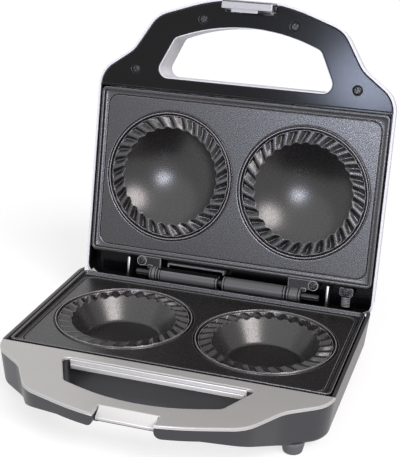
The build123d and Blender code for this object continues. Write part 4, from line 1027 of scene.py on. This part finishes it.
class HandleSizes(PropertyGroup):
    """Sizes of the two handle halves, in millimetres."""
    reach: mm("Reach", "Tip of the handle in front of the plates", 80.5)
    bow: mm("Bow", "Radius of the handle's front", 155.0)
    line: mm("Deck line", "Deck's rear edge in front of the plates", 2.4)
    opening_start: mm("Opening start", "Opening's rear edge in front of the plates", 12.2)
    ledge_half: mm("Ledge half length", "Half length of the stepped ledge", 65.0)
    notch_half: mm("Notch half width", "Half width of the latch notch", 21.3)


class HingeSizes(PropertyGroup):
    """Sizes of the hinge, in millimetres."""
    barrel: mm("Barrel radius", "Radius of the base's barrels", 6.0)
    pin: mm("Pin radius", "Radius of the hinge pin", 2.5)
    coil_turns: FloatProperty(name="Coil turns", description="Turns of the spring round the lid's leads",
                              default=6.0)


class ScrewSizes(PropertyGroup):
    """Sizes of the cross-head screws, in millimetres."""
    screw_head: mm("Head radius", "Radius of a screw's head", 3.4)
    screw_height: mm("Head height", "Height of a screw's head", 1.8)
    cross: mm("Cross", "Width of the cross recess", 4.0)
    cross_width: mm("Cross arm", "Width of one arm of the cross", 1.0)
    cross_depth: mm("Cross depth", "Depth of the cross", 1.3)


class Colours(PropertyGroup):
    """Colours of the main finishes."""
    case: colour_of("Base case", "Lacquer of the base case", "3A3A3D")
    deck: colour_of("Deck", "Paint of the handle deck", "B4B4B2")
    lid: colour_of("Lid", "Paint of the lid", "CACBD0")
    # the latch's silver is darker than the lid's, as painted shade
    latch: colour_of("Latch", "Paint of the latch", "9C9CA0")
    panel: colour_of("Handle panel", "Inner panel of the lid handle", "08080A")
    plates: colour_of("Plates", "Non-stick coating of the plates", "1E1C1D")


class StageLook(PropertyGroup):
    """Camera, floor and even light."""
    lens: FloatProperty(name="Lens", description="Focal length of the camera", default=88.08, unit="CAMERA")
    camera_place: place_of("Camera", "Place of the camera", (0.23014, -0.73466, 0.40939))
    target: place_of("Target", "Point the camera looks at", (0.00301, -0.001895, 0.11661))
    roll: degrees("Roll", "Turn of the camera about its line of sight", 1.62)
    floor_colour: colour_of("Floor", "Colour of the floor", "9C9C9C")
    ambient: FloatProperty(name="Ambient", description="Level of the even light all round", default=0.2)


# ---------------- operators
class PIEMAKER_OT_stage(Operator):
    """Floor, even light, soft lamps and camera"""
    bl_idname = "piemaker.stage"
    bl_label = "Stage"

    def execute(self, context):
        look = context.scene.pie_stage
        context.scene.view_settings.view_transform = "Standard"
        context.scene.camera = camera(look)
        floor(look)
        context.scene.world = sky(look)
        for row in SOFTBOXES:
            softbox(*row)
        return {"FINISHED"}


class PIEMAKER_OT_plates(Operator):
    """Cast cooking plates with their fluted crimp rings"""
    bl_idname = "piemaker.plates"
    bl_label = "Plates"

    def execute(self, context):
        sizes = context.scene.pie_plates
        coat = "non_stick_aluminium"
        # flutes, gutters and grooves of the plates darkened as painted shade
        finished(plate(sizes, False), "cast_lower_plate", coat, "base", "lower_plate", tone=painted_groove_shade(sizes))
        finished(plate(sizes, True), "cast_upper_plate", coat, "lid", "upper_plate", tone=painted_groove_shade(sizes),
                 place=LID_PLACE @ Matrix.Scale(-1, 4, (0, 0, 1)))
        return {"FINISHED"}


class PIEMAKER_OT_handle(Operator):
    """Deck, inner panel and catch of the handle"""
    bl_idname = "piemaker.handle"
    bl_label = "Handle"

    def execute(self, context):
        sizes = context.scene.pie_handle
        finished(deck(sizes), "stepped_deck", "silver_plastic", "base", "deck_panel")
        finished(inner_panel(sizes), "black_handle_panel", "black_plastic", "lid", "handle_panel")
        finished(catch(), "sloping_catch", "light_silver_plastic", "base", "catch_plate")
        return {"FINISHED"}


class PIEMAKER_OT_latch(Operator):
    """Latch with its thumb tab"""
    bl_idname = "piemaker.latch"
    bl_label = "Latch"

    def execute(self, context):
        sizes = context.scene.pie_handle
        finished(latch(sizes), "sprung_latch", "light_silver_plastic", "latch", "latch")
        return {"FINISHED"}


class PIEMAKER_OT_hinge(Operator):
    """Barrels, knuckles, pin, stop arms and the lead guides in the hinge bay"""
    bl_idname = "piemaker.hinge"
    bl_label = "Hinge"

    def execute(self, context):
        sizes = context.scene.pie_hinge
        finished(barrels(sizes), "ringed_barrels", "dark_plastic", "base", "hinge_barrels")
        finished(pin(sizes), "domed_hinge_pin", "dark_steel", "base", "hinge_pin")
        finished(brackets(sizes), "bossed_brackets", "dark_plastic", "lid", "hinge_brackets")
        finished(arms(), "eased_stop_arms", "steel", "lid", "stop_arms")
        finished(cover(), "bent_lead_cover", "dark_steel", "lid", "lead_cover")
        finished(clamp(), "eased_lead_clamp", "dark_steel", "lid", "conduit_clamp")
        finished(spring(sizes), "coiled_lead_spring", "dark_steel", "lid", "lead_sleeve")
        return {"FINISHED"}


class PIEMAKER_OT_screws(Operator):
    """Cross-head screws of the lid and the base"""
    bl_idname = "piemaker.screws"
    bl_label = "Screws"

    def execute(self, context):
        sizes = context.scene.pie_screws
        lid = screw_set(sizes, 3, (HANDLE_SCREWS, SEAT, DOWN), (HINGE_SCREWS, BRACKET[0], DOWN),
                        (CLAMP_SCREWS, CLAMP_LOW, DOWN))
        finished(lid, "lid_cross_screws", "dark_steel", "lid",
                 "handle_screws", "hinge_screws", "conduit_screw")
        base = screw_set(sizes, 5, (BARREL_SCREWS, FOOT_TOP, UP), (DECK_SCREWS, DECK_SEAT, DOWN),
                         (FEET, FOOT_SEAT, DOWN))
        finished(base, "base_cross_screws", "dark_steel", "base",
                 "barrel_screws", "deck_screws", "foot_screws")
        return {"FINISHED"}


class PIEMAKER_OT_fittings(Operator):
    """Feet, lamp lenses and cord gland"""
    bl_idname = "piemaker.fittings"
    bl_label = "Feet, lenses and gland"

    def execute(self, context):
        finished(feet(), "tapered_feet", "rubber", "base", "feet")
        finished(lenses(), "domed_lenses", "red_lens", "lid", "indicator_lenses")
        finished(gland(), "rounded_cord_gland", "rubber", "base", "cord_gland")
        return {"FINISHED"}


class PIEMAKER_OT_carried_over(Operator):
    """Finishes of the pieces kept as the frame has them"""
    bl_idname = "piemaker.carried_over"
    bl_label = "Kept pieces"

    def execute(self, context):
        for name, thing in NODES.items():
            thing.data.materials.clear()
            thing.data.materials.append(FINISHES[COATS.get(name, SLOT_OF[name])])
        return {"FINISHED"}


class PIEMAKER_PT_sidebar(Panel):
    """Sizes, colours and steps of the pie maker"""
    bl_idname = "PIEMAKER_PT_sidebar"
    bl_label = "Pie Maker"
    bl_space_type = "VIEW_3D"
    bl_region_type = "UI"
    bl_category = "Pie Maker"

    def draw(self, context):
        layout = self.layout
        for step in STEPS:
            layout.operator(step.bl_idname)
        for name, group in SETTINGS.items():
            box = layout.box()
            box.label(text=group.__doc__)
            settings = getattr(context.scene, name)
            for field in group.__annotations__:
                box.prop(settings, field)


SETTINGS = {"pie_stage": StageLook, "pie_colours": Colours, "pie_plates": PlateSizes,
            "pie_handle": HandleSizes, "pie_hinge": HingeSizes, "pie_screws": ScrewSizes}
STEPS = (PIEMAKER_OT_stage, PIEMAKER_OT_plates, PIEMAKER_OT_handle, PIEMAKER_OT_latch, PIEMAKER_OT_hinge,
         PIEMAKER_OT_screws, PIEMAKER_OT_fittings, PIEMAKER_OT_carried_over)
CLASSES = (*SETTINGS.values(), *STEPS, PIEMAKER_PT_sidebar)


def register():
    """Registers the classes and the scene's settings."""
    for item in CLASSES:
        bpy.utils.register_class(item)
    for name, group in SETTINGS.items():
        setattr(bpy.types.Scene, name, PointerProperty(type=group))


def unregister():
    """Undoes register."""
    for name in SETTINGS:
        delattr(bpy.types.Scene, name)
    for item in reversed(CLASSES):
        bpy.utils.unregister_class(item)


def main():
    """Makes the whole scene."""
    register()
    FINISHES.update(all_finishes(bpy.context.scene.pie_colours))
    bpy.ops.piemaker.stage()
    bpy.ops.piemaker.plates()
    bpy.ops.piemaker.handle()
    bpy.ops.piemaker.latch()
    bpy.ops.piemaker.hinge()
    bpy.ops.piemaker.screws()
    bpy.ops.piemaker.fittings()
    bpy.ops.piemaker.carried_over()


if __name__ == "__main__":
    main()
